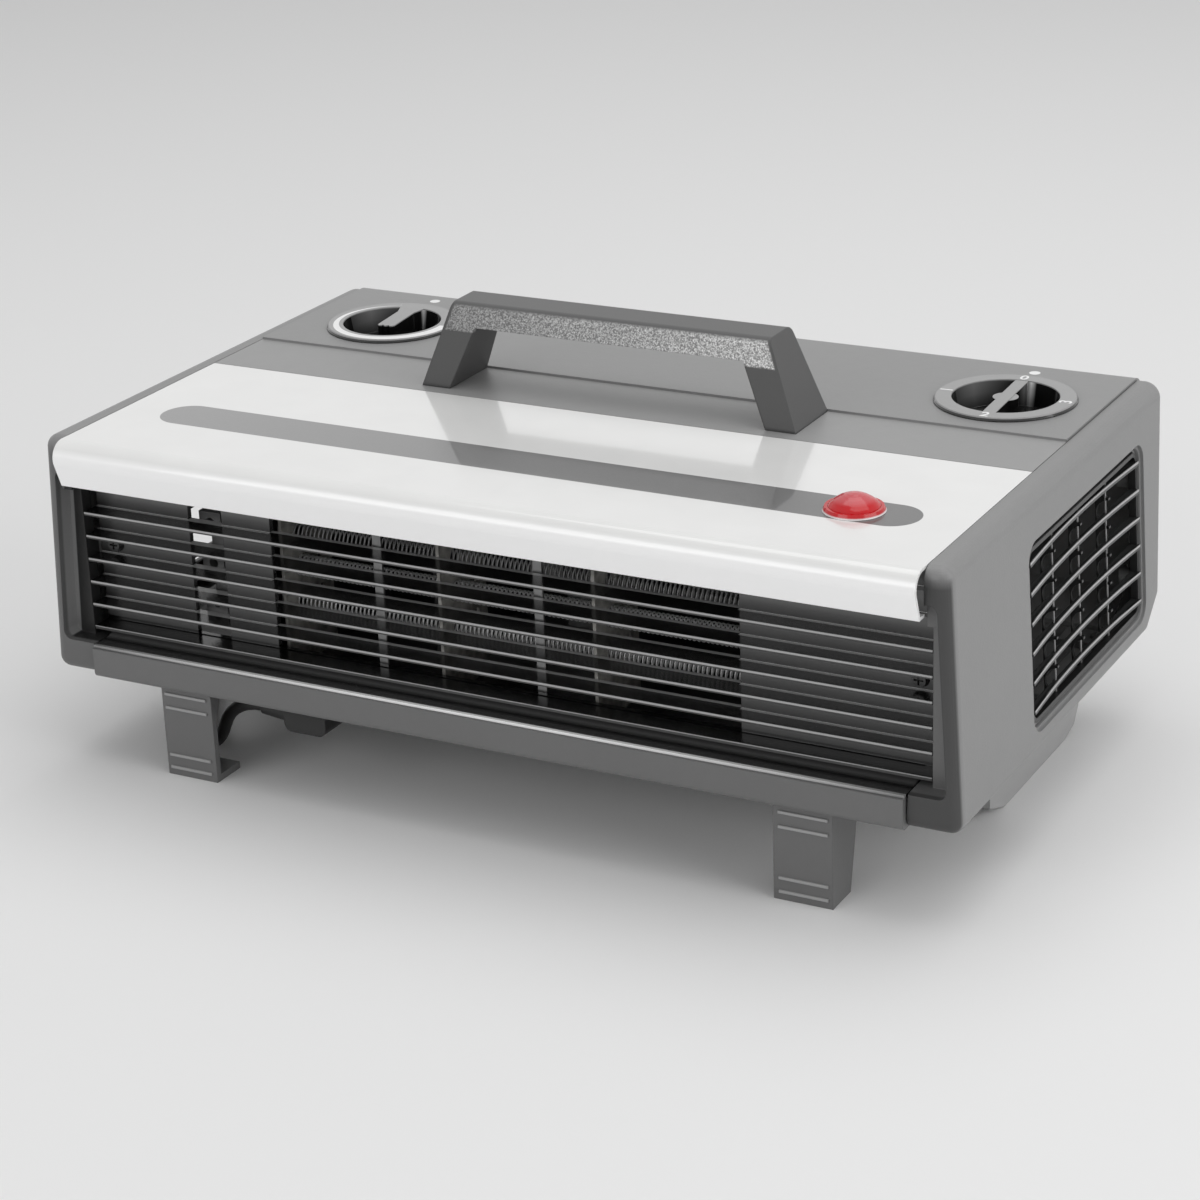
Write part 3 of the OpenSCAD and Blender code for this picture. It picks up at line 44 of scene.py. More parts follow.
def linear(level):  # a grey level or a colour of 0 to 255 as linear light
    if isinstance(level, (tuple, list)):
        return tuple(linear(v)[0] for v in level) + (1.0,)
    v = level / 255
    v = v / 12.92 if v <= 0.04045 else ((v + 0.055) / 1.055) ** 2.4
    return (v, v, v, 1.0)


# Camera

cameraView = {
    "position": (0.4855, -0.8959, 0.4586),
    "right": (0.883686, 0.466748, -0.035286),
    "down": (0.144552, -0.343822, -0.927842),
    "forward": (-0.445201, 0.814821, -0.371300),
    "focalPixels": 3073.93,
    "framePixels": 1200,
    "sensor": 36,
    "clipEnd": 50,
}


def makeCamera(v):
    data = bpy.data.cameras.new("photoCamera")
    data.sensor_width = v["sensor"]
    data.lens = v["sensor"] * v["focalPixels"] / v["framePixels"]
    data.clip_end = v["clipEnd"]
    obj = bpy.data.objects.new("photoCamera", data)
    right, down, forward = (Vector(v[k]) for k in ("right", "down", "forward"))
    turn = Matrix((right, -down, -forward)).transposed().to_4x4()
    obj.matrix_world = Matrix.Translation(v["position"]) @ turn
    scene.collection.objects.link(obj)
    scene.camera = obj


makeCamera(cameraView)


# Shader maths


class Num:  # a number on a socket, with Python's operators as Math nodes
    def __init__(self, tree, socket):
        self.tree = tree
        self.socket = socket

    def maths(self, operation, *values, clamp=False):
        node = self.tree.nodes.new("ShaderNodeMath")
        node.operation = operation
        node.use_clamp = clamp
        for i, value in enumerate(values):
            feed(self.tree, node.inputs[i], value)
        return Num(self.tree, node.outputs[0])

    def __add__(self, other):
        return self.maths("ADD", self, other)

    def __sub__(self, other):
        return self.maths("SUBTRACT", self, other)

    def __rsub__(self, other):
        return self.maths("SUBTRACT", other, self)

    def __mul__(self, other):
        return self.maths("MULTIPLY", self, other)

    def __truediv__(self, other):
        return self.maths("DIVIDE", self, other)

    def __pow__(self, other):
        return self.maths("POWER", self, other)

    def __abs__(self):
        return self.maths("ABSOLUTE", self)

    def above(self, edge, soft):  # 0 below edge, 1 above it, over a soft width
        return ((self - (edge - soft / 2)) / soft).clamp()

    def below(self, edge, soft):
        return (((edge + soft / 2) - self) / soft).clamp()

    def clamp(self):
        return self.maths("ADD", self, 0.0, clamp=True)

    def atLeast(self, other):
        return self.maths("MAXIMUM", self, other)

    def sine(self):
        return self.maths("SINE", self)

    def root(self):
        return self.maths("SQRT", self)

    def fraction(self):
        return self.maths("FRACT", self)


def feed(tree, socket, value):
    if isinstance(value, Num):
        tree.links.new(value.socket, socket)
    elif isinstance(value, bpy.types.NodeSocket):
        tree.links.new(value, socket)
    else:
        socket.default_value = value


class Finish:  # one material, built node by node
    def __init__(self, name, color, roughness, **fixed):
        self.material = bpy.data.materials.new(name)
        self.material.use_nodes = True
        self.tree = self.material.node_tree
        self.shader = self.tree.nodes["Principled BSDF"]
        self.coords = self.add("ShaderNodeTexCoord").outputs["Object"]
        self.set("Base Color", color)
        self.set("Roughness", roughness)
        for socket, value in fixed.items():
            self.set(socket.replace("_", " "), value)
        self.material.diffuse_color = color

    def add(self, kind, settings=None, sockets=None):
        node = self.tree.nodes.new(kind)
        for key, value in (settings or {}).items():
            setattr(node, key, value)
        for key, value in (sockets or {}).items():
            feed(self.tree, node.inputs[key], value)
        return node

    def set(self, socket, value):
        feed(self.tree, self.shader.inputs[socket], value)

    def axes(self):
        split = self.add("ShaderNodeSeparateXYZ", None, {0: self.coords})
        return [Num(self.tree, split.outputs[i]) for i in range(3)]

    def stretched(self, x, y, z):
        node = self.add("ShaderNodeMapping", None, {"Vector": self.coords, "Scale": (x, y, z)})
        return node.outputs[0]

    def noise(self, scale, detail=2.0, rough=0.5, vector=None):
        node = self.add(
            "ShaderNodeTexNoise", None,
            {"Vector": vector or self.coords, "Scale": scale, "Detail": detail, "Roughness": rough},
        )
        return Num(self.tree, node.outputs[0])

    def cells(self, scale, feature="F1"):
        sockets = {"Vector": self.coords, "Scale": scale}
        node = self.add("ShaderNodeTexVoronoi", {"feature": feature}, sockets)
        return Num(self.tree, node.outputs["Distance"])

    def plainColor(self):
        return self.shader.inputs["Base Color"].links[0].from_socket

    def mix(self, factor, low, high):
        node = self.add("ShaderNodeMix", {"data_type": "RGBA"}, {0: factor, 6: low, 7: high})
        return node.outputs[2]

    def relief(self, height, distance, edge=None):
        sockets = {"Height": height, "Distance": distance, "Strength": 1.0}
        if edge:
            sockets["Normal"] = edge
        node = self.add("ShaderNodeBump", None, sockets)
        self.set("Normal", node.outputs[0])

    def softEdge(self, radius):
        return self.add("ShaderNodeBevel", {"samples": 4}, {"Radius": radius}).outputs[0]


def mouldedPlastic(name, level, roughness=0.45, grain=1.0, edge=0.5 * mm):
    f = Finish(name, linear(level), roughness)
    broad = f.noise(28, 3)
    cloud = f.noise(210, 3)
    speck = f.noise(2100, 2)
    shade = (broad * 0.5 + cloud * 0.3 + speck * 0.2)
    f.set("Base Color", f.mix(shade, linear(level * 0.95), linear(level * 1.045)))
    f.set("Roughness", (broad - 0.5) * 0.08 + (speck - 0.5) * 0.12 + roughness)
    pits = f.cells(1500, "SMOOTH_F1")
    f.relief(speck * 0.6 + pits * 0.6, 0.05 * mm * grain, f.softEdge(edge) if edge else None)
    return f


def assign(obj, finish):
    if obj.material_slots:
        for place in obj.material_slots:
            place.material = finish.material
    else:
        obj.data.materials.append(finish.material)


def dress(finish, *names):
    for name in names:
        assign(nodes[name], finish)


def addMesh(name, mesh, finish=None):
    obj = bpy.data.objects.new(name, mesh)
    scene.collection.objects.link(obj)
    if finish:
        assign(obj, finish)
    return obj


# Cord

cordSizes = {
    "diameter": 4.6,
    "length": 1.78,
    "floorLine": 2.4,
    "coilCentre": (-127.0, 150.0),
    "coilOuter": 32.0,
    "loopStep": 5.5,
    "loopRise": 5.2,
    "loopsPerLayer": 2,
    "plugInlet": (-54.0, 124.0, 13.6),
    "glandEnd": (-79.6, -84.0, 28.0),
    "straightOut": 14.0,
    "dropRadius": 24.0,
    "dropTurn": 50.0,
    "diagonal": 22.6,
    "sideRadius": 50.0,
    "pointStep": 3.6,
    "sidePoints": ((-159, 40), (-159, 100)),
    "coilApproach": (26, 8),
    "pointsPerTurn": 36,
    "leadOut": 7,
    "leadPoints": ((-86, 130, 14.5), (-76, 125, 10.5)),
    "inletRun": (9, 0, 1.5),
    "inletGap": (0.1, 0, 0),
}


def curveThrough(points, steps, floorLine):
    path = []
    last = len(points) - 1
    for i in range(last):
        a, b = points[max(i - 1, 0)], points[i]
        c, d = points[i + 1], points[min(i + 2, last)]
        for j in range(steps):
            u = j / steps
            square, cube = 2 * a - 5 * b + 4 * c - d, 3 * b - a - 3 * c + d
            p = 0.5 * (2 * b + (c - a) * u + square * u * u + cube * u ** 3)
            p.z = max(p.z, floorLine)
            path.append(p)
    return path + [points[last]]


def sweep(place, legs, step):  # legs of even curvature: length, turn to the right and dive per millimetre
    place = Vector(place)
    heading, dive = math.pi, 0.0
    path = [place.copy()]
    for length, turnRate, diveRate in legs:
        count = max(1, round(length / step))
        ds = length / count
        for _ in range(count):
            h, d = heading - turnRate * ds / 2, dive + diveRate * ds / 2
            place += Vector((math.cos(d) * math.cos(h), math.cos(d) * math.sin(h), -math.sin(d))) * ds
            heading -= turnRate * ds
            dive += diveRate * ds
            path.append(place.copy())
    return path


def coilPoint(s, u):
    perLayer = s["loopsPerLayer"]
    turn = u % (2 * perLayer)
    inward = 4 * perLayer - u if u > 4 * perLayer else min(turn, 2 * perLayer - turn)
    radius = s["coilOuter"] - s["loopStep"] * inward
    rise = sum(max(0, min(1, 2 * (u - k * perLayer) + 0.5)) for k in (1, 2, 3))
    angle = math.radians(180 - 360 * u)
    x, y = s["coilCentre"]
    height = s["floorLine"] + s["loopRise"] * rise
    return Vector((x + radius * math.cos(angle), y + radius * math.sin(angle), height))


def cordRoute(s):
    line = s["floorLine"]
    turns = 4 * s["loopsPerLayer"] + 0.5
    start, out = coilPoint(s, 0), coilPoint(s, turns)
    intoCoil = (coilPoint(s, 0.02) - start).normalized()
    outOfCoil = (out - coilPoint(s, turns - 0.02)).normalized()
    straight = 1.1 * s["diameter"] + 0.1
    end = start - intoCoil * straight
    fall = math.acos(1 - (s["glandEnd"][2] - line) / (2 * s["dropRadius"])) * s["dropRadius"]
    swing = math.radians(s["dropTurn"])
    drop = sweep(s["glandEnd"], [
        (s["straightOut"], 0, 0), (fall, swing / (2 * fall), 1 / s["dropRadius"]),
        (fall, swing / (2 * fall), -1 / s["dropRadius"]), (s["diagonal"], 0, 0),
        (s["sideRadius"] * (math.pi / 2 - swing), 1 / s["sideRadius"], 0),
    ], s["pointStep"])
    side = [drop[-1]] + [Vector((x, y, line)) for x, y in s["sidePoints"]]
    side += [end - intoCoil * back for back in s["coilApproach"]] + [end]
    perTurn = s["pointsPerTurn"]
    coil = [coilPoint(s, i / perTurn) for i in range(int(turns * perTurn) + 1)]
    leave = out + outOfCoil * straight
    inlet = Vector(s["plugInlet"])
    lead = [leave, leave + outOfCoil * s["leadOut"]] + [Vector(place) for place in s["leadPoints"]]
    lead += [inlet - Vector(s["inletRun"]), inlet - Vector(s["inletGap"])]
    path = drop[:-1] + curveThrough(side, 3, line) + coil + curveThrough(lead, 4, line)
    return [p * mm for p in path]


def makeCord(s, finish):
    path = cordRoute(s)
    run = sum((b - a).length for a, b in zip(path, path[1:]))
    print("cord route", round(run, 3), "m")
    curve = bpy.data.curves.new("powerCordCurve", "CURVE")
    curve.dimensions = "3D"
    curve.bevel_depth = s["diameter"] / 2 * mm
    curve.bevel_resolution = 4
    curve.use_fill_caps = True
    spline = curve.splines.new("POLY")
    spline.points.add(len(path) - 1)
    for point, place in zip(spline.points, path):
        point.co = (*place, 1)
    spline.use_smooth = True
    obj = bpy.data.objects.new("powerCordSheath", curve)
    scene.collection.objects.link(obj)
    curve.materials.append(finish.material)
    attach(obj, "casing")
    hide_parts("power_cord", "cord_coil")


cordFinish = mouldedPlastic("blackCordSheath", 34, 0.5, 0.6, None)
makeCord(cordSizes, cordFinish)


# Stage and light

studio = {
    "floorSize": 24.0,
    "floorLevel": 0.86,
    "floorRoughness": 0.9,
    "worldLevel": 0.44,
    "backgroundLevel": 0.93,
    "aim": (0, 0, 0.08),
    "topLight": {"place": (0.15, 0.25, 1.7), "size": (1.8, 1.5), "power": 12},
    "sideLight": {"place": (1.7, -0.1, 0.75), "size": (1.4, 1.1), "power": 10},
    "frontLight": {"place": (-0.7, -2.0, 0.9), "size": (1.4, 1.0), "power": 8.5},
}


def makeStage(s):
    half = s["floorSize"] / 2
    mesh = bpy.data.meshes.new("studioFloor")
    corners = [(-half, -half, 0), (half, -half, 0), (half, half, 0), (-half, half, 0)]
    mesh.from_pydata(corners, [], [(0, 1, 2, 3)])
    f = Finish("paleFloor", (s["floorLevel"],) * 3 + (1,), s["floorRoughness"])
    floor = addMesh("studioFloor", mesh, f)
    world = bpy.data.worlds.new("paleStudio")
    scene.world = world
    world.use_nodes = True
    tree = world.node_tree
    back = tree.nodes["Background"]
    back.inputs["Color"].default_value = (1, 1, 1, 1)
    path = tree.nodes.new("ShaderNodeLightPath")
    seen = Num(tree, path.outputs["Is Camera Ray"])
    for kind in ("Is Glossy Ray", "Is Transmission Ray"):
        seen = seen.atLeast(Num(tree, path.outputs[kind]))
    feed(tree, back.inputs["Strength"], seen * (s["backgroundLevel"] - s["worldLevel"]) + s["worldLevel"])
    for name in ("topLight", "sideLight", "frontLight"):
        lamp = bpy.data.lights.new(name, "AREA")
        lamp.shape = "RECTANGLE"
        lamp.size, lamp.size_y = s[name]["size"]
        lamp.energy = s[name]["power"]
        obj = bpy.data.objects.new(name, lamp)
        obj.location = s[name]["place"]
        aim = Vector(s["aim"]) - obj.location
        obj.rotation_euler = aim.to_track_quat("-Z", "Y").to_euler()
        scene.collection.objects.link(obj)
    scene.view_settings.view_transform = "Standard"


makeStage(studio)
print("stage and lights ready")


# Materials of the CAD nodes

casingSide = {"topEdge": 168.5, "flare": 4.5, "topHeight": 122.5, "height": 88.0}
# Painted shade on the cheeks: the front columns and the hollows beside the front grille are darkened, with
# their own levels for the left and the right.
cheekSizes = {"level": 131, "front": 62, "frontFrom": -95.4, "upTo": 118.5, "leftFrontShade": 96,
              "recessTo": -83.0, "recessFrom": 6.0, "leftRecessShade": 30, "rightRecessShade": 104,
              "topFade": 5.0, "frontFade": 1.0, "recessFade": 0.5}


def besideFace(x, z):  # distance inwards from the outer side face
    s = casingSide
    return (s["topHeight"] * mm - z) * (s["flare"] / s["height"]) + s["topEdge"] * mm - abs(x)


def cheekFinish(s):
    f = mouldedPlastic("cheekGrey", s["level"], 0.42)
    x, y, z = f.axes()
    low = z.below(s["upTo"] * mm, s["topFade"] * mm)
    # painted shade: the front column below the top edge is darker
    front = y.below(s["frontFrom"] * mm, s["frontFade"] * mm) * low
    fade = s["recessFade"] * mm
    # painted shade in the hollow beside the front grille, lighter on the right than on the left
    inside = besideFace(x, z).above(s["recessFrom"] * mm, fade)
    recessShade = y.below(s["recessTo"] * mm, fade) * inside * low
    right = x.above(0.0, 1.0 * mm)
    frontShadeLevel = f.mix(right, linear(s["leftFrontShade"]), linear(s["front"]))
    recessShadeLevel = f.mix(right, linear(s["leftRecessShade"]), linear(s["rightRecessShade"]))
    f.set("Base Color", f.mix(front, f.mix(recessShade, f.plainColor(), recessShadeLevel), frontShadeLevel))
    return f


dress(cheekFinish(cheekSizes), "left_cheek", "right_cheek")
dress(mouldedPlastic("footGrey", 160, 0.42), "left_rear_foot", "right_rear_foot")
dress(mouldedPlastic("barGrey", 106, 0.45), "front_bar", "base_pan")

# The fronts of the raised ridges on the legs get a painted highlight, lighter than the leg plastic.
legSizes = {"level": 105, "ridgeHighlight": 160, "ridgeFront": -96.15}


def legFinish(s):
    f = mouldedPlastic("legGrey", s["level"], 0.45)
    ridgeHighlight = f.axes()[1].below(s["ridgeFront"] * mm, sharp)
    f.set("Base Color", f.mix(ridgeHighlight, f.plainColor(), linear(s["ridgeHighlight"])))
    return f


dress(legFinish(legSizes), "left_leg", "right_leg")

# Painted light on the side grilles: the fin fronts are painted lighter than the black plastic, with a
# painted highlight line along each fin's lower front edge. The parts deeper in get painted shade.
sideGrille = {"middle": 23.5, "halfWidth": 53.5, "edgeDepth": 0.6, "sag": 2.2, "dark": 24, "edge": 172,
              "body": 58, "deep": 8, "centre": 74.5, "pitch": 10.2, "fin": 1.6, "line": 0.75,
              "frontDepth": 0.3, "deepShadeFrom": 1.2}


def grilleFinish(s):
    f = mouldedPlastic("grilleBlack", s["dark"], 0.3, 0.6, 0.3 * mm)
    x, y, z = f.axes()
    beside = y - s["middle"] * mm
    dish = (1.0 - (beside / (s["halfWidth"] * mm)) ** 2) * (s["sag"] * mm) + s["edgeDepth"] * mm
    inward = besideFace(x, z) - dish
    front = inward.below(s["frontDepth"] * mm, 0.2 * mm)
    pitch = s["pitch"] * mm
    down = ((s["centre"] * mm + s["fin"] * mm / 2 - z) / pitch + 10.5).fraction() * pitch
    # painted shade on the parts deeper inside the grille
    deep = inward.above(s["deepShadeFrom"] * mm, 0.6 * mm)
    color = f.mix(deep, f.plainColor(), linear(s["deep"]))
    f.set("Roughness", deep * 0.5 + 0.3)
    # painted light on the fin fronts, then a painted highlight line at their lower edges
    color = f.mix(front * down.below((s["fin"] + 0.2) * mm, sharp), color, linear(s["body"]))
    f.set("Base Color", f.mix(front * down.below(s["line"] * mm, 0.2 * mm), color, linear(s["edge"])))
    return f


dress(grilleFinish(sideGrille), "left_side_grille", "right_side_grille")

# Thin grey strips just behind the side grilles' fin fronts, one on each rib, are painted highlights: the
# lit front edges of the black ribs.
ribHighlights = {"middle": 23.5, "step": 26.275, "centre": 74.5, "half": 29.6, "wide": 0.9, "deep": 0.4,
             "behind": 1.1, "level": 124}
boxFaces = ((3, 2, 1, 0), (4, 5, 6, 7), (0, 1, 5, 4), (1, 2, 6, 5), (2, 3, 7, 6), (3, 0, 4, 7))


def makeRibHighlights(s, casing, grille):
    finish = mouldedPlastic("ribHighlightGrey", s["level"], 0.4)
    verts, faces = [], []
    for side in (-1, 1):
        for k in (-1, 0, 1):
            beside = k * s["step"]
            dish = (1 - (beside / grille["halfWidth"]) ** 2) * grille["sag"] + grille["edgeDepth"]
            first = len(verts)
            for z in (s["centre"] - s["half"], s["centre"] + s["half"]):
                face = casing["topEdge"] + (casing["topHeight"] - z) * casing["flare"] / casing["height"]
                front = face - dish - s["behind"]
                for x, y in ((0, -1), (0, 1), (1, 1), (1, -1)):
                    verts.append((side * (front - x * s["deep"]) * mm,
                                  (s["middle"] + beside + y * s["wide"] / 2) * mm, z * mm))
            for ring in boxFaces:
                faces.append([first + n for n in (ring if side > 0 else ring[::-1])])
    mesh = bpy.data.meshes.new("grilleRibHighlights")
    mesh.from_pydata(verts, [], faces)
    mesh.update()
    obj = addMesh("grilleRibHighlights", mesh, finish)
    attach(obj, "casing")


makeRibHighlights(ribHighlights, casingSide, sideGrille)
print("rib fronts made")

coverMarks = {"dots": ((125.0, 91.5), (-122.9, 92.6)), "dotRadius": 2.0, "redMark": (-111.0, 80.3),
              "redRadius": 1.7, "strip": 146, "darker": 0.14, "stepAt": 27.0,
              "top": 123.0, "white": 240, "red": (196, 44, 52)}


def distanceTo(x, y, place):
    return ((x - place[0] * mm) ** 2 + (y - place[1] * mm) ** 2).root()


def coverFinish(s):
    f = mouldedPlastic("coverGrey", s["strip"], 0.42)
    x, y, z = f.axes()
    behind = y.above(s["stepAt"] * mm, 0.2 * mm) * s["darker"]
    plain = f.mix(behind, f.plainColor(), linear(0))
    right, left = (distanceTo(x, y, place).below(s["dotRadius"] * mm, 0.12 * mm) for place in s["dots"])
    red = distanceTo(x, y, s["redMark"]).below(s["redRadius"] * mm, 0.12 * mm)
    top = z.above(s["top"] * mm, sharp)
    color = f.mix((right + left) * top, plain, linear(s["white"]))
    f.set("Base Color", f.mix(red * top, color, linear(s["red"])))
    return f


dress(coverFinish(coverMarks), "top_cover")
dress(mouldedPlastic("backGrey", 134, 0.42), "back_cover")

# The bent front lip of the white plate is painted whiter than its top, a painted highlight for the light on
# the lip.
plateBand = {"halfLength": 143.6, "middle": -59.5, "halfWidth": 10.0, "bandLeft": 128, "bandRight": 80,
             "white": (232, 232, 231), "lip": (255, 255, 255), "lipTop": 119.5, "top": 121.9}


def plateFinish(s):
    f = Finish("whiteEnamel", linear(s["white"]), 0.16, Coat_Weight=0.6, Coat_Roughness=0.05)
    x, y, z = f.axes()
    past = (abs(x) - (s["halfLength"] - s["halfWidth"]) * mm).atLeast(0.0)
    away = (past ** 2 + (y - s["middle"] * mm) ** 2).root()
    band = away.below(s["halfWidth"] * mm, sharp) * z.above(s["top"] * mm, sharp)
    ripple = f.noise(55, 2)
    peel = f.noise(900, 2)
    white = f.mix(ripple, linear([v - 4 for v in s["white"]]), linear([v + 4 for v in s["white"]]))
    # painted highlight: the lip below lipTop is whiter
    white = f.mix(z.below(s["lipTop"] * mm, 2.0 * mm), white, linear(s["lip"]))
    along = (x / (2 * s["halfLength"] * mm) + (f.noise(1800, 2) - 0.5) * 0.12 + 0.5).clamp()
    grey = f.mix(along, linear(s["bandLeft"]), linear(s["bandRight"]))
    f.set("Base Color", f.mix(band, white, grey))
    f.set("Roughness", band * 0.2 + (peel - 0.5) * 0.05 + 0.16)
    f.relief(peel * 0.5 + band * 0.8, 0.012 * mm, f.softEdge(0.4 * mm))
    return f


dress(plateFinish(plateBand), "top_plate")


def glossBlack(name, level=26, roughness=0.2, edge=0.4 * mm):
    f = Finish(name, linear(level), roughness, Coat_Weight=0.35, Coat_Roughness=0.12)
    wave = f.noise(60, 2)
    speck = f.noise(1500, 2)
    f.set("Base Color", f.mix(speck, linear(level * 0.85), linear(level * 1.15)))
    f.set("Roughness", (wave - 0.5) * 0.1 + (speck - 0.5) * 0.06 + roughness)
    f.relief(wave * 0.7 + speck * 0.3, 0.02 * mm, f.softEdge(edge) if edge else None)
    return f


# Painted light on the front grille: the slat fronts are lighter, with painted highlights on their lower
# front and rear top edges. The panel beside the window gets painted sheen fading to painted shade. The sill
# is painted darker as shade, with a painted highlight band at its back and along its front lip.
louvreHighlights = {"slatFront": -90.0, "slatTop": 92.7, "slatPitch": 8.6, "edgeHigh": 0.65, "slatHighlight": 172,
               "slatFrontLight": 52, "slatBack": -80.0, "backWide": 1.9, "backHighlight": 190, "sillTop": 51.0,
               "sillLip": -97.7, "sillHighlight": 255, "sillHalf": 176.0, "glowAt": -91.0, "glowLevel": 84,
               "panelFront": -82.0, "windowFrom": -87.0, "windowTo": 91.0, "panelHigh": 104, "panelLow": 40,
               "shadeFrom": 3.6, "shadeOver": 5.0, "sillShade": 8}


def louvreFinish(s):
    f = glossBlack("louvreBlack", 26, 0.24)
    x, y, z = f.axes()
    plain = f.plainColor()
    pitch = s["slatPitch"] * mm
    down = ((s["slatTop"] * mm + 0.1 * mm - z) / pitch).fraction() * pitch - 0.1 * mm
    inSlats = z.above((s["sillTop"] - 1.6) * mm, sharp)
    front = inSlats * y.below((s["slatFront"] + 0.25) * mm, sharp)
    # painted light on the slat front faces, then a painted highlight along each slat's lower front edge
    color = f.mix(front, plain, linear(s["slatFrontLight"]))
    color = f.mix(front * down.below(s["edgeHigh"] * mm, 0.2 * mm), color, linear(s["slatHighlight"]))
    inside = x.above(s["windowFrom"] * mm, 0.2 * mm) * x.below(s["windowTo"] * mm, 0.2 * mm)
    # painted highlight along each slat's rear top edge, and where the slats meet the panel
    behind = y.above((s["slatBack"] - s["backWide"]) * mm, 0.3 * mm)
    atPanel = y.above((s["panelFront"] - s["backWide"] * 0.7) * mm, 0.3 * mm) * (1.0 - inside)
    back = inSlats * down.below(0.05 * mm, 0.04 * mm) * behind.atLeast(atPanel)
    panel = y.above((s["panelFront"] - 0.15) * mm, sharp) * (1.0 - inside)
    panel = panel * down.above(1.5 * mm, 0.2 * mm)
    # painted sheen on the blank panel: lighter just under each slat, painted shade lower down
    fall = ((down - s["shadeFrom"] * mm) / (s["shadeOver"] * mm)).clamp()
    shade = f.mix(fall, linear(s["panelHigh"]), linear(s["panelLow"]))
    color = f.mix(panel * z.above((s["sillTop"] - 4.0) * mm, sharp), color, shade)
    color = f.mix(back, color, linear(s["backHighlight"]))
    # painted shade over the sill, with a painted highlight band at its back
    low = z.below(s["sillTop"] * mm, sharp) * (1.0 - front)
    glow = low * y.above(s["glowAt"] * mm, 2.6 * mm) * z.below((s["sillTop"] - 1.4) * mm, sharp)
    color = f.mix(glow, f.mix(low, color, linear(s["sillShade"])), linear(s["glowLevel"]))
    # painted highlight along the sill's front lip, brightest in the middle
    across = 1.0 - (x / (s["sillHalf"] * mm)) ** 2
    lip = low * y.below(s["sillLip"] * mm, 0.15 * mm) * across
    f.set("Base Color", f.mix(lip, color, linear(s["sillHighlight"])))
    return f


dress(louvreFinish(louvreHighlights), "front_grille")


dialPaint = {"black": 20, "capFrom": 124.3, "capDark": 138, "capPale": 150, "print": 238}
# Painted reflections inside the dials' black bowls: a narrow bright glint and a broad soft glow on the
# wall, at fixed angles.
bowlSheen = {"wall": 17.4, "glintAt": 82, "glintWide": 6.5, "glintLevel": 245, "glowAt": 148,
             "glowWide": 46, "glowLevel": 112}


def dialFinish(name, centre, ring=None):
    f = Finish(name, linear(dialPaint["black"]), 0.12, Coat_Weight=0.3, Coat_Roughness=0.08)
    x, y, z = f.axes()
    speck = f.noise(2200, 2)
    cap = z.above(dialPaint["capFrom"] * mm, sharp)
    dx, dy = x - centre[0] * mm, y - centre[1] * mm
    away = (dx ** 2 + dy ** 2).root()
    angle = dy.maths("ARCTAN2", dy, dx)
    wall = away.above(bowlSheen["wall"] * mm, 1.2 * mm)
    black = linear(dialPaint["black"])
    # painted reflections on the bowl wall
    for kind in ("glow", "glint"):
        off = abs(angle - math.radians(bowlSheen[kind + "At"])) / math.radians(bowlSheen[kind + "Wide"])
        black = f.mix((1.0 - off).clamp() * wall, black, linear(bowlSheen[kind + "Level"]))
    color = f.mix(cap, black, f.mix(speck, linear(dialPaint["capDark"]), linear(dialPaint["capPale"])))
    if ring:
        turn = (angle - math.radians(ring["start"])) / math.radians(ring["span"])
        turn = turn + turn.below(0.0, 0.001) * (360 / ring["span"])
        width = (turn.clamp() * (math.pi / 2)).sine() * (ring["wide"] * mm)
        inner, edge = ring["inner"] * mm, ring["edge"] * mm
        band = away.above(inner, edge) * (away - width).below(inner, edge)
        color = f.mix(band * turn.below(1.0, 0.005) * cap, color, linear(dialPaint["print"]))
    f.set("Base Color", color)
    f.set("Roughness", cap * 0.3 + (speck - 0.5) * 0.05 + 0.12)
    f.relief(speck * cap, 0.02 * mm, f.softEdge(0.3 * mm))
    return f


crescent = {"start": 112, "span": 252, "inner": 20.3, "wide": 3.7, "edge": 0.15}
dress(dialFinish("thermostatDial", (-122.2, 59.5), crescent), "thermostat_dial")
dress(dialFinish("selectorDial", (126.2, 59.5)), "selector_dial")

# The grip's grain is painted darker on the left and lighter on the right, a painted shade-to-light gradient
# across the grip.
handleSizes = {"grainFrom": 143.4, "gripLeftShaded": 146, "gripRightLit": 204, "plain": 76, "half": 62.0,
               "top": 153.5, "lean": 0.372, "frontEdge": 5.4, "middle": 13.4, "cell": 1900,
               "dark": 0.7, "pale": 1.25}


def handleFinish(s):
    f = Finish("handleGrain", linear(s["plain"]), 0.42)
    x, y, z = f.axes()
    outer = (s["top"] * mm - z) * s["lean"] + s["half"] * mm
    ends = (outer - abs(x)).above(1.2 * mm, 0.6 * mm)
    faces = abs(y - s["middle"] * mm).above((s["middle"] - s["frontEdge"]) * mm, 1.0 * mm)
    grip = z.above(s["grainFrom"] * mm, 0.6 * mm) * ends * faces
    pebbles = f.cells(s["cell"], "SMOOTH_F1")
    creases = f.noise(s["cell"] * 0.6, 3, 0.6)
    fine = f.noise(2600, 2)
    grain = pebbles * 1.2 + creases * 0.6
    spot = ((0.5 - f.cells(s["cell"])) * 1.6 + (creases - 0.5) * 2.2 + 0.4).clamp()
    # grain speckle, with painted shade on the left and painted light on the right
    left, right = (
        f.mix(spot, linear(s[side] * s["dark"]), linear(s[side] * s["pale"]))
        for side in ("gripLeftShaded", "gripRightLit")
    )
    gripGrainAndLight = f.mix((x / (2 * s["half"] * mm) + 0.5).clamp(), left, right)
    plain = f.mix(fine, linear(s["plain"] * 0.94), linear(s["plain"] * 1.05))
    f.set("Base Color", f.mix(grip, plain, gripGrainAndLight))
    f.set("Roughness", (creases - 0.5) * 0.2 * grip + 0.42)
    f.relief(grain * grip + fine * 0.08, 0.32 * mm, f.softEdge(0.9 * mm))
    return f


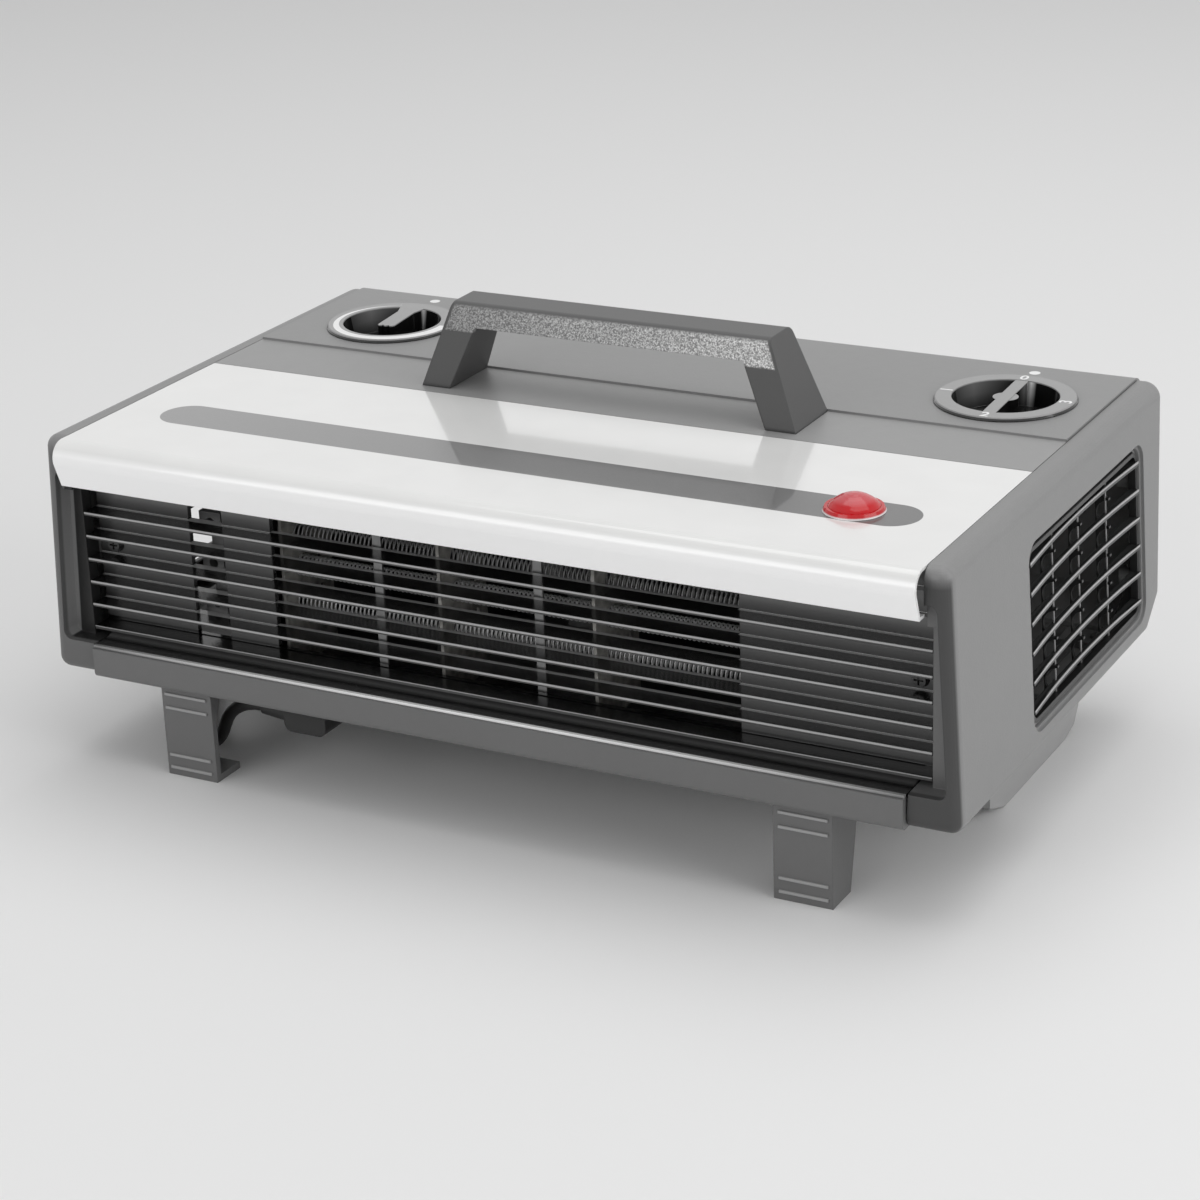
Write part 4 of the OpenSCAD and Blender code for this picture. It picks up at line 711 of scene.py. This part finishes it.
dress(handleFinish(handleSizes), "handle")


def sheetSteel(name, level=150, roughness=0.38, brushed=True):
    f = Finish(name, linear(level), roughness, Metallic=1.0)
    lines = f.noise(900, 2, 0.5, f.stretched(0.08, 1.0, 1.0)) if brushed else f.noise(700, 2)
    spangle = f.cells(160)
    f.set("Base Color", f.mix(spangle, linear(level * 0.92), linear(level * 1.06)))
    f.set("Roughness", (lines - 0.5) * 0.2 + spangle * 0.08 + roughness)
    f.relief(lines, 0.008 * mm)
    return f


steel = sheetSteel("zincSteel")
dress(steel, "motor_bracket", "heater_frame")
dress(sheetSteel("screwSteel", 170, 0.3, False), "handle_screws", "base_screws", "motor_screws",
      "dial_nuts", "selector_spindle", "motor_shaft")
dress(glossBlack("screwBlack", 30, 0.35, None), "front_screws")
dress(sheetSteel("castAlloy", 165, 0.5, False), "left_bearing_bridge", "right_bearing_bridge")
dress(sheetSteel("wheelAlloy", 178, 0.35, False), "left_blower_wheel", "right_blower_wheel")


sheetPitch = 0.5


def laminatedSteel():
    f = sheetSteel("laminatedCore", 118, 0.5, False)
    sheets = (f.axes()[0] * (2 * math.pi / (sheetPitch * mm))).sine()
    f.relief(sheets, 0.06 * mm)
    return f


dress(laminatedSteel(), "motor_core", "rotor")


def metalFinish(name, color, roughness):
    f = Finish(name, linear(color), roughness, Metallic=1.0)
    speck = f.noise(600, 3)
    dark, pale = [v * 0.9 for v in color], [min(255, v * 1.06) for v in color]
    f.set("Base Color", f.mix(speck, linear(dark), linear(pale)))
    f.set("Roughness", (speck - 0.5) * 0.25 + roughness)
    f.relief(speck, 0.01 * mm)
    return f


dress(metalFinish("turnedBrass", (201, 160, 84), 0.28), "thermostat_spindle", "plug_pins")
dress(metalFinish("sinteredBronze", (165, 122, 72), 0.5), "left_bearing", "right_bearing")


def micaFinish():
    f = Finish("pressedMica", linear((178, 168, 142)), 0.5)
    flakes = f.cells(260)
    fine = f.noise(900, 3)
    f.set("Base Color", f.mix(flakes * 0.7 + fine * 0.4, linear((108, 107, 103)), linear((196, 194, 189))))
    f.set("Roughness", (fine - 0.5) * 0.3 + 0.48)
    f.relief(flakes + fine * 0.4, 0.05 * mm)
    return f


dress(micaFinish(), "mica_board_1", "mica_board_2", "mica_board_3", "mica_board_4")
# the scroll housings are a dark grey made darker still, painted shade for the dark inside of the body
dress(mouldedPlastic("scrollShadedGrey", 64, 0.5), "left_scroll", "right_scroll")
dress(mouldedPlastic("phenolicBlack", 40, 0.4), "selector_switch", "thermal_cutout")
dress(mouldedPlastic("firedCeramic", 214, 0.35, 0.5), "thermostat_body")
dress(mouldedPlastic("terminalGrey", 96, 0.35, 0.5), "terminal_block")
dress(mouldedPlastic("glandBlack", 30, 0.5, 1.0, 0.6 * mm), "cord_gland", "plug")


# The red lens is painted paler and pinker in its middle, a painted reflection on its top.
lampSizes = {"centre": (121.0, -59.5), "lensReflection": 6.2, "rim": 10.02, "top": (200, 78, 84),
             "deep": (196, 6, 20), "pale": (232, 226, 226), "ringStep": 1.5}


def lensFinish(s):
    f = Finish("redLens", linear(s["deep"]), 0.1, IOR=1.46)
    x, y = f.axes()[:2]
    away = distanceTo(x, y, s["centre"])
    rings = (away * (2 * math.pi / (s["ringStep"] * mm))).sine()
    # painted reflection: paler red in the middle of the lens
    f.set("Base Color", f.mix(away.below(s["lensReflection"] * mm, 1.6 * mm), linear(s["deep"]), linear(s["top"])))
    f.relief(rings, 0.02 * mm)
    return f


def rimFinish(s):
    f = Finish("lampRim", linear(s["deep"]), 0.14)
    x, y = f.axes()[:2]
    away = distanceTo(x, y, s["centre"])
    f.set("Base Color", f.mix(away.above(s["rim"] * mm, 0.2 * mm), linear(s["deep"]), linear(s["pale"])))
    f.set("Roughness", (f.noise(500) - 0.5) * 0.1 + 0.14)
    return f


dress(lensFinish(lampSizes), "lamp_lens")
dress(rimFinish(lampSizes), "lamp_rim")
neon = Finish("neonGlass", linear((240, 170, 130)), 0.1, Transmission_Weight=0.5)
neon.set("Roughness", (neon.noise(300) - 0.5) * 0.1 + 0.1)
dress(neon, "neon_lamp")
print("materials set")


# Heating coils

# The heating wire is made near white, and each row (height, level) gets its own brightness: painted light
# and shade on copies of one wire.
heatingCoil = {"coilRadius": 3.5, "wireRadius": 0.33, "turns": 110, "steps": 18,
               "from": -93.0, "to": 92.7, "y": -66.0,
               "rows": ((63.0, 250), (75.5, 250), (88.0, 168))}


def makeTree(name, inputs):
    tree = bpy.data.node_groups.new(name, "GeometryNodeTree")
    tree.interface.new_socket("Geometry", in_out="OUTPUT", socket_type="NodeSocketGeometry")
    for key, kind in inputs:
        tree.interface.new_socket(key, in_out="INPUT", socket_type=kind)
    start = tree.nodes.new("NodeGroupInput")
    end = tree.nodes.new("NodeGroupOutput")

    def add(kind, settings=None, sockets=None):
        node = tree.nodes.new(kind)
        for key, value in (settings or {}).items():
            setattr(node, key, value)
        for key, value in (sockets or {}).items():
            if isinstance(value, bpy.types.NodeSocket):
                tree.links.new(value, node.inputs[key])
            else:
                node.inputs[key].default_value = value
        return node

    return tree, start, end, add


def finishTree(tree, end, add, geometry, material):
    whole = add("GeometryNodeRealizeInstances", None, {0: geometry})
    painted = add("GeometryNodeSetMaterial", None, {"Geometry": whole.outputs[0], "Material": material})
    tree.links.new(painted.outputs[0], end.inputs[0])


def growPiece(name, tree, values, finish):
    obj = addMesh(name, bpy.data.meshes.new(name))
    modifier = obj.modifiers.new("grow", "NODES")
    modifier.node_group = tree
    for item in tree.interface.items_tree:
        if item.in_out == "INPUT" and item.name in values:
            modifier[item.identifier] = values[item.name]
    graph = bpy.context.evaluated_depsgraph_get()
    mesh = bpy.data.meshes.new_from_object(obj.evaluated_get(graph))
    obj.modifiers.clear()
    obj.data = mesh
    mesh.name = name
    if not mesh.materials:
        mesh.materials.append(finish.material)
    return obj


def coilTree():
    tree, start, end, add = makeTree("coilTree", [
        ("Coil Radius", "NodeSocketFloat"), ("Turns", "NodeSocketFloat"), ("Length", "NodeSocketFloat"),
        ("Wire Radius", "NodeSocketFloat"), ("Steps", "NodeSocketInt"), ("Place", "NodeSocketVector"),
        ("Finish", "NodeSocketMaterial"),
    ])
    g = start.outputs
    helix = add("GeometryNodeCurveSpiral", None, {
        "Resolution": g["Steps"], "Rotations": g["Turns"], "Start Radius": g["Coil Radius"],
        "End Radius": g["Coil Radius"], "Height": g["Length"],
    })
    placed = add("GeometryNodeTransform", None, {
        "Geometry": helix.outputs[0], "Translation": g["Place"], "Rotation": (0, math.pi / 2, 0),
    })
    wire = add("GeometryNodeCurvePrimitiveCircle", None, {"Resolution": 6, "Radius": g["Wire Radius"]})
    tube = add("GeometryNodeCurveToMesh", None, {
        "Curve": placed.outputs[0], "Profile Curve": wire.outputs[0],
    })
    tube.inputs["Fill Caps"].default_value = True
    finishTree(tree, end, add, tube.outputs[0], g["Finish"])
    return tree


def wireFinish(name, level):
    f = Finish(name, linear(level), 0.35, Metallic=0.2)
    patch = f.noise(160, 3)
    f.set("Base Color", f.mix(patch, linear(level * 0.82), linear(level)))
    f.set("Roughness", (patch - 0.5) * 0.2 + 0.4)
    return f


def makeHeatingCoils(s):
    tree = coilTree()
    for k, (z, level) in enumerate(s["rows"]):
        name = f"heatingSpring{k + 1}"
        finish = wireFinish(f"heatingWire{k + 1}", level)
        obj = growPiece(name, tree, {
            "Coil Radius": s["coilRadius"] * mm, "Turns": float(s["turns"]),
            "Wire Radius": s["wireRadius"] * mm, "Length": (s["to"] - s["from"]) * mm, "Steps": s["steps"],
            "Place": (s["from"] * mm, s["y"] * mm, z * mm), "Finish": finish.material,
        }, finish)
        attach(obj, "casing")
        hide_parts(f"heating_coil_{k + 1}")


makeHeatingCoils(heatingCoil)
print("heating coils wound")


# Motor winding

windingSizes = {"wide": 43.7, "deep": 30.7, "corner": 6.0, "wire": 0.42, "turns": 24, "height": 20.4,
                "centre": (-8.0, 66.5, 77.5)}


def windingTree():
    tree, start, end, add = makeTree("windingTree", [
        ("Wide", "NodeSocketFloat"), ("Deep", "NodeSocketFloat"), ("Corner", "NodeSocketFloat"),
        ("Wire Radius", "NodeSocketFloat"), ("Turns", "NodeSocketInt"), ("Foot", "NodeSocketVector"),
        ("Step", "NodeSocketVector"), ("Finish", "NodeSocketMaterial"),
    ])
    g = start.outputs
    outline = add("GeometryNodeCurvePrimitiveQuadrilateral", None, {
        "Width": g["Wide"], "Height": g["Deep"],
    })
    bend = add("GeometryNodeFilletCurve", {"mode": "POLY"}, {
        "Curve": outline.outputs[0], "Radius": g["Corner"], "Count": 5,
    })
    wire = add("GeometryNodeCurvePrimitiveCircle", None, {"Resolution": 8, "Radius": g["Wire Radius"]})
    loop = add("GeometryNodeCurveToMesh", None, {
        "Curve": bend.outputs[0], "Profile Curve": wire.outputs[0],
    })
    line = add("GeometryNodeMeshLine", None, {
        "Count": g["Turns"], "Start Location": g["Foot"], "Offset": g["Step"],
    })
    pile = add("GeometryNodeInstanceOnPoints", None, {
        "Points": line.outputs[0], "Instance": loop.outputs[0],
    })
    finishTree(tree, end, add, pile.outputs[0], g["Finish"])
    return tree


def makeWinding(s):
    f = Finish("enamelledCopper", linear((176, 96, 52)), 0.3, Metallic=1.0)
    tone = f.noise(300, 2)
    f.set("Base Color", f.mix(tone, linear((150, 74, 38)), linear((198, 112, 62))))
    f.set("Roughness", (tone - 0.5) * 0.1 + 0.3)
    x, y, z = s["centre"]
    step = s["height"] / (s["turns"] - 1)
    obj = growPiece("windingTurns", windingTree(), {
        "Wide": s["wide"] * mm, "Deep": s["deep"] * mm, "Corner": s["corner"] * mm,
        "Wire Radius": s["wire"] * mm, "Turns": s["turns"],
        "Foot": (x * mm, y * mm, (z - s["height"] / 2) * mm), "Step": (0, 0, step * mm),
        "Finish": f.material,
    }, f)
    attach(obj, "casing")


makeWinding(windingSizes)
dress(mouldedPlastic("windingTape", 120, 0.5, 1.0, None), "motor_coil")
print("winding made")


# Dial digits

dialDigits = {"centre": (126.2, 59.5), "radius": 21.7, "size": 6.2, "bold": 0.13, "top": 124.7,
              "thick": 0.06, "digits": {"0": 93, "1": 183, "2": 272, "3": 3}}


def makeDigits(s, finish):
    for digit, angle in s["digits"].items():
        text = bpy.data.curves.new("digit" + digit, "FONT")
        text.body = digit
        text.size = s["size"] * mm
        text.align_x = "CENTER"
        text.align_y = "CENTER"
        text.extrude = s["thick"] * mm / 2
        text.offset = s["bold"] * mm
        obj = bpy.data.objects.new("digit" + digit, text)
        scene.collection.objects.link(obj)
        graph = bpy.context.evaluated_depsgraph_get()
        mesh = bpy.data.meshes.new_from_object(obj.evaluated_get(graph))
        bpy.data.objects.remove(obj)
        a = math.radians(angle)
        x, y = s["centre"]
        place = Vector((x + s["radius"] * math.cos(a), y + s["radius"] * math.sin(a),
                        s["top"] + s["thick"] / 2)) * mm
        mesh.transform(Matrix.Translation(place) @ Matrix.Rotation(a + math.pi / 2, 4, "Z"))
        mesh.materials.clear()
        piece = addMesh("dialDigit" + digit, mesh, finish)
        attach(piece, "selector_knob")


digitFinish = Finish("printedWhite", linear(dialPaint["print"]), 0.5)
digitFinish.set("Roughness", (digitFinish.noise(900) - 0.5) * 0.2 + 0.5)
makeDigits(dialDigits, digitFinish)
print("dial digits printed")
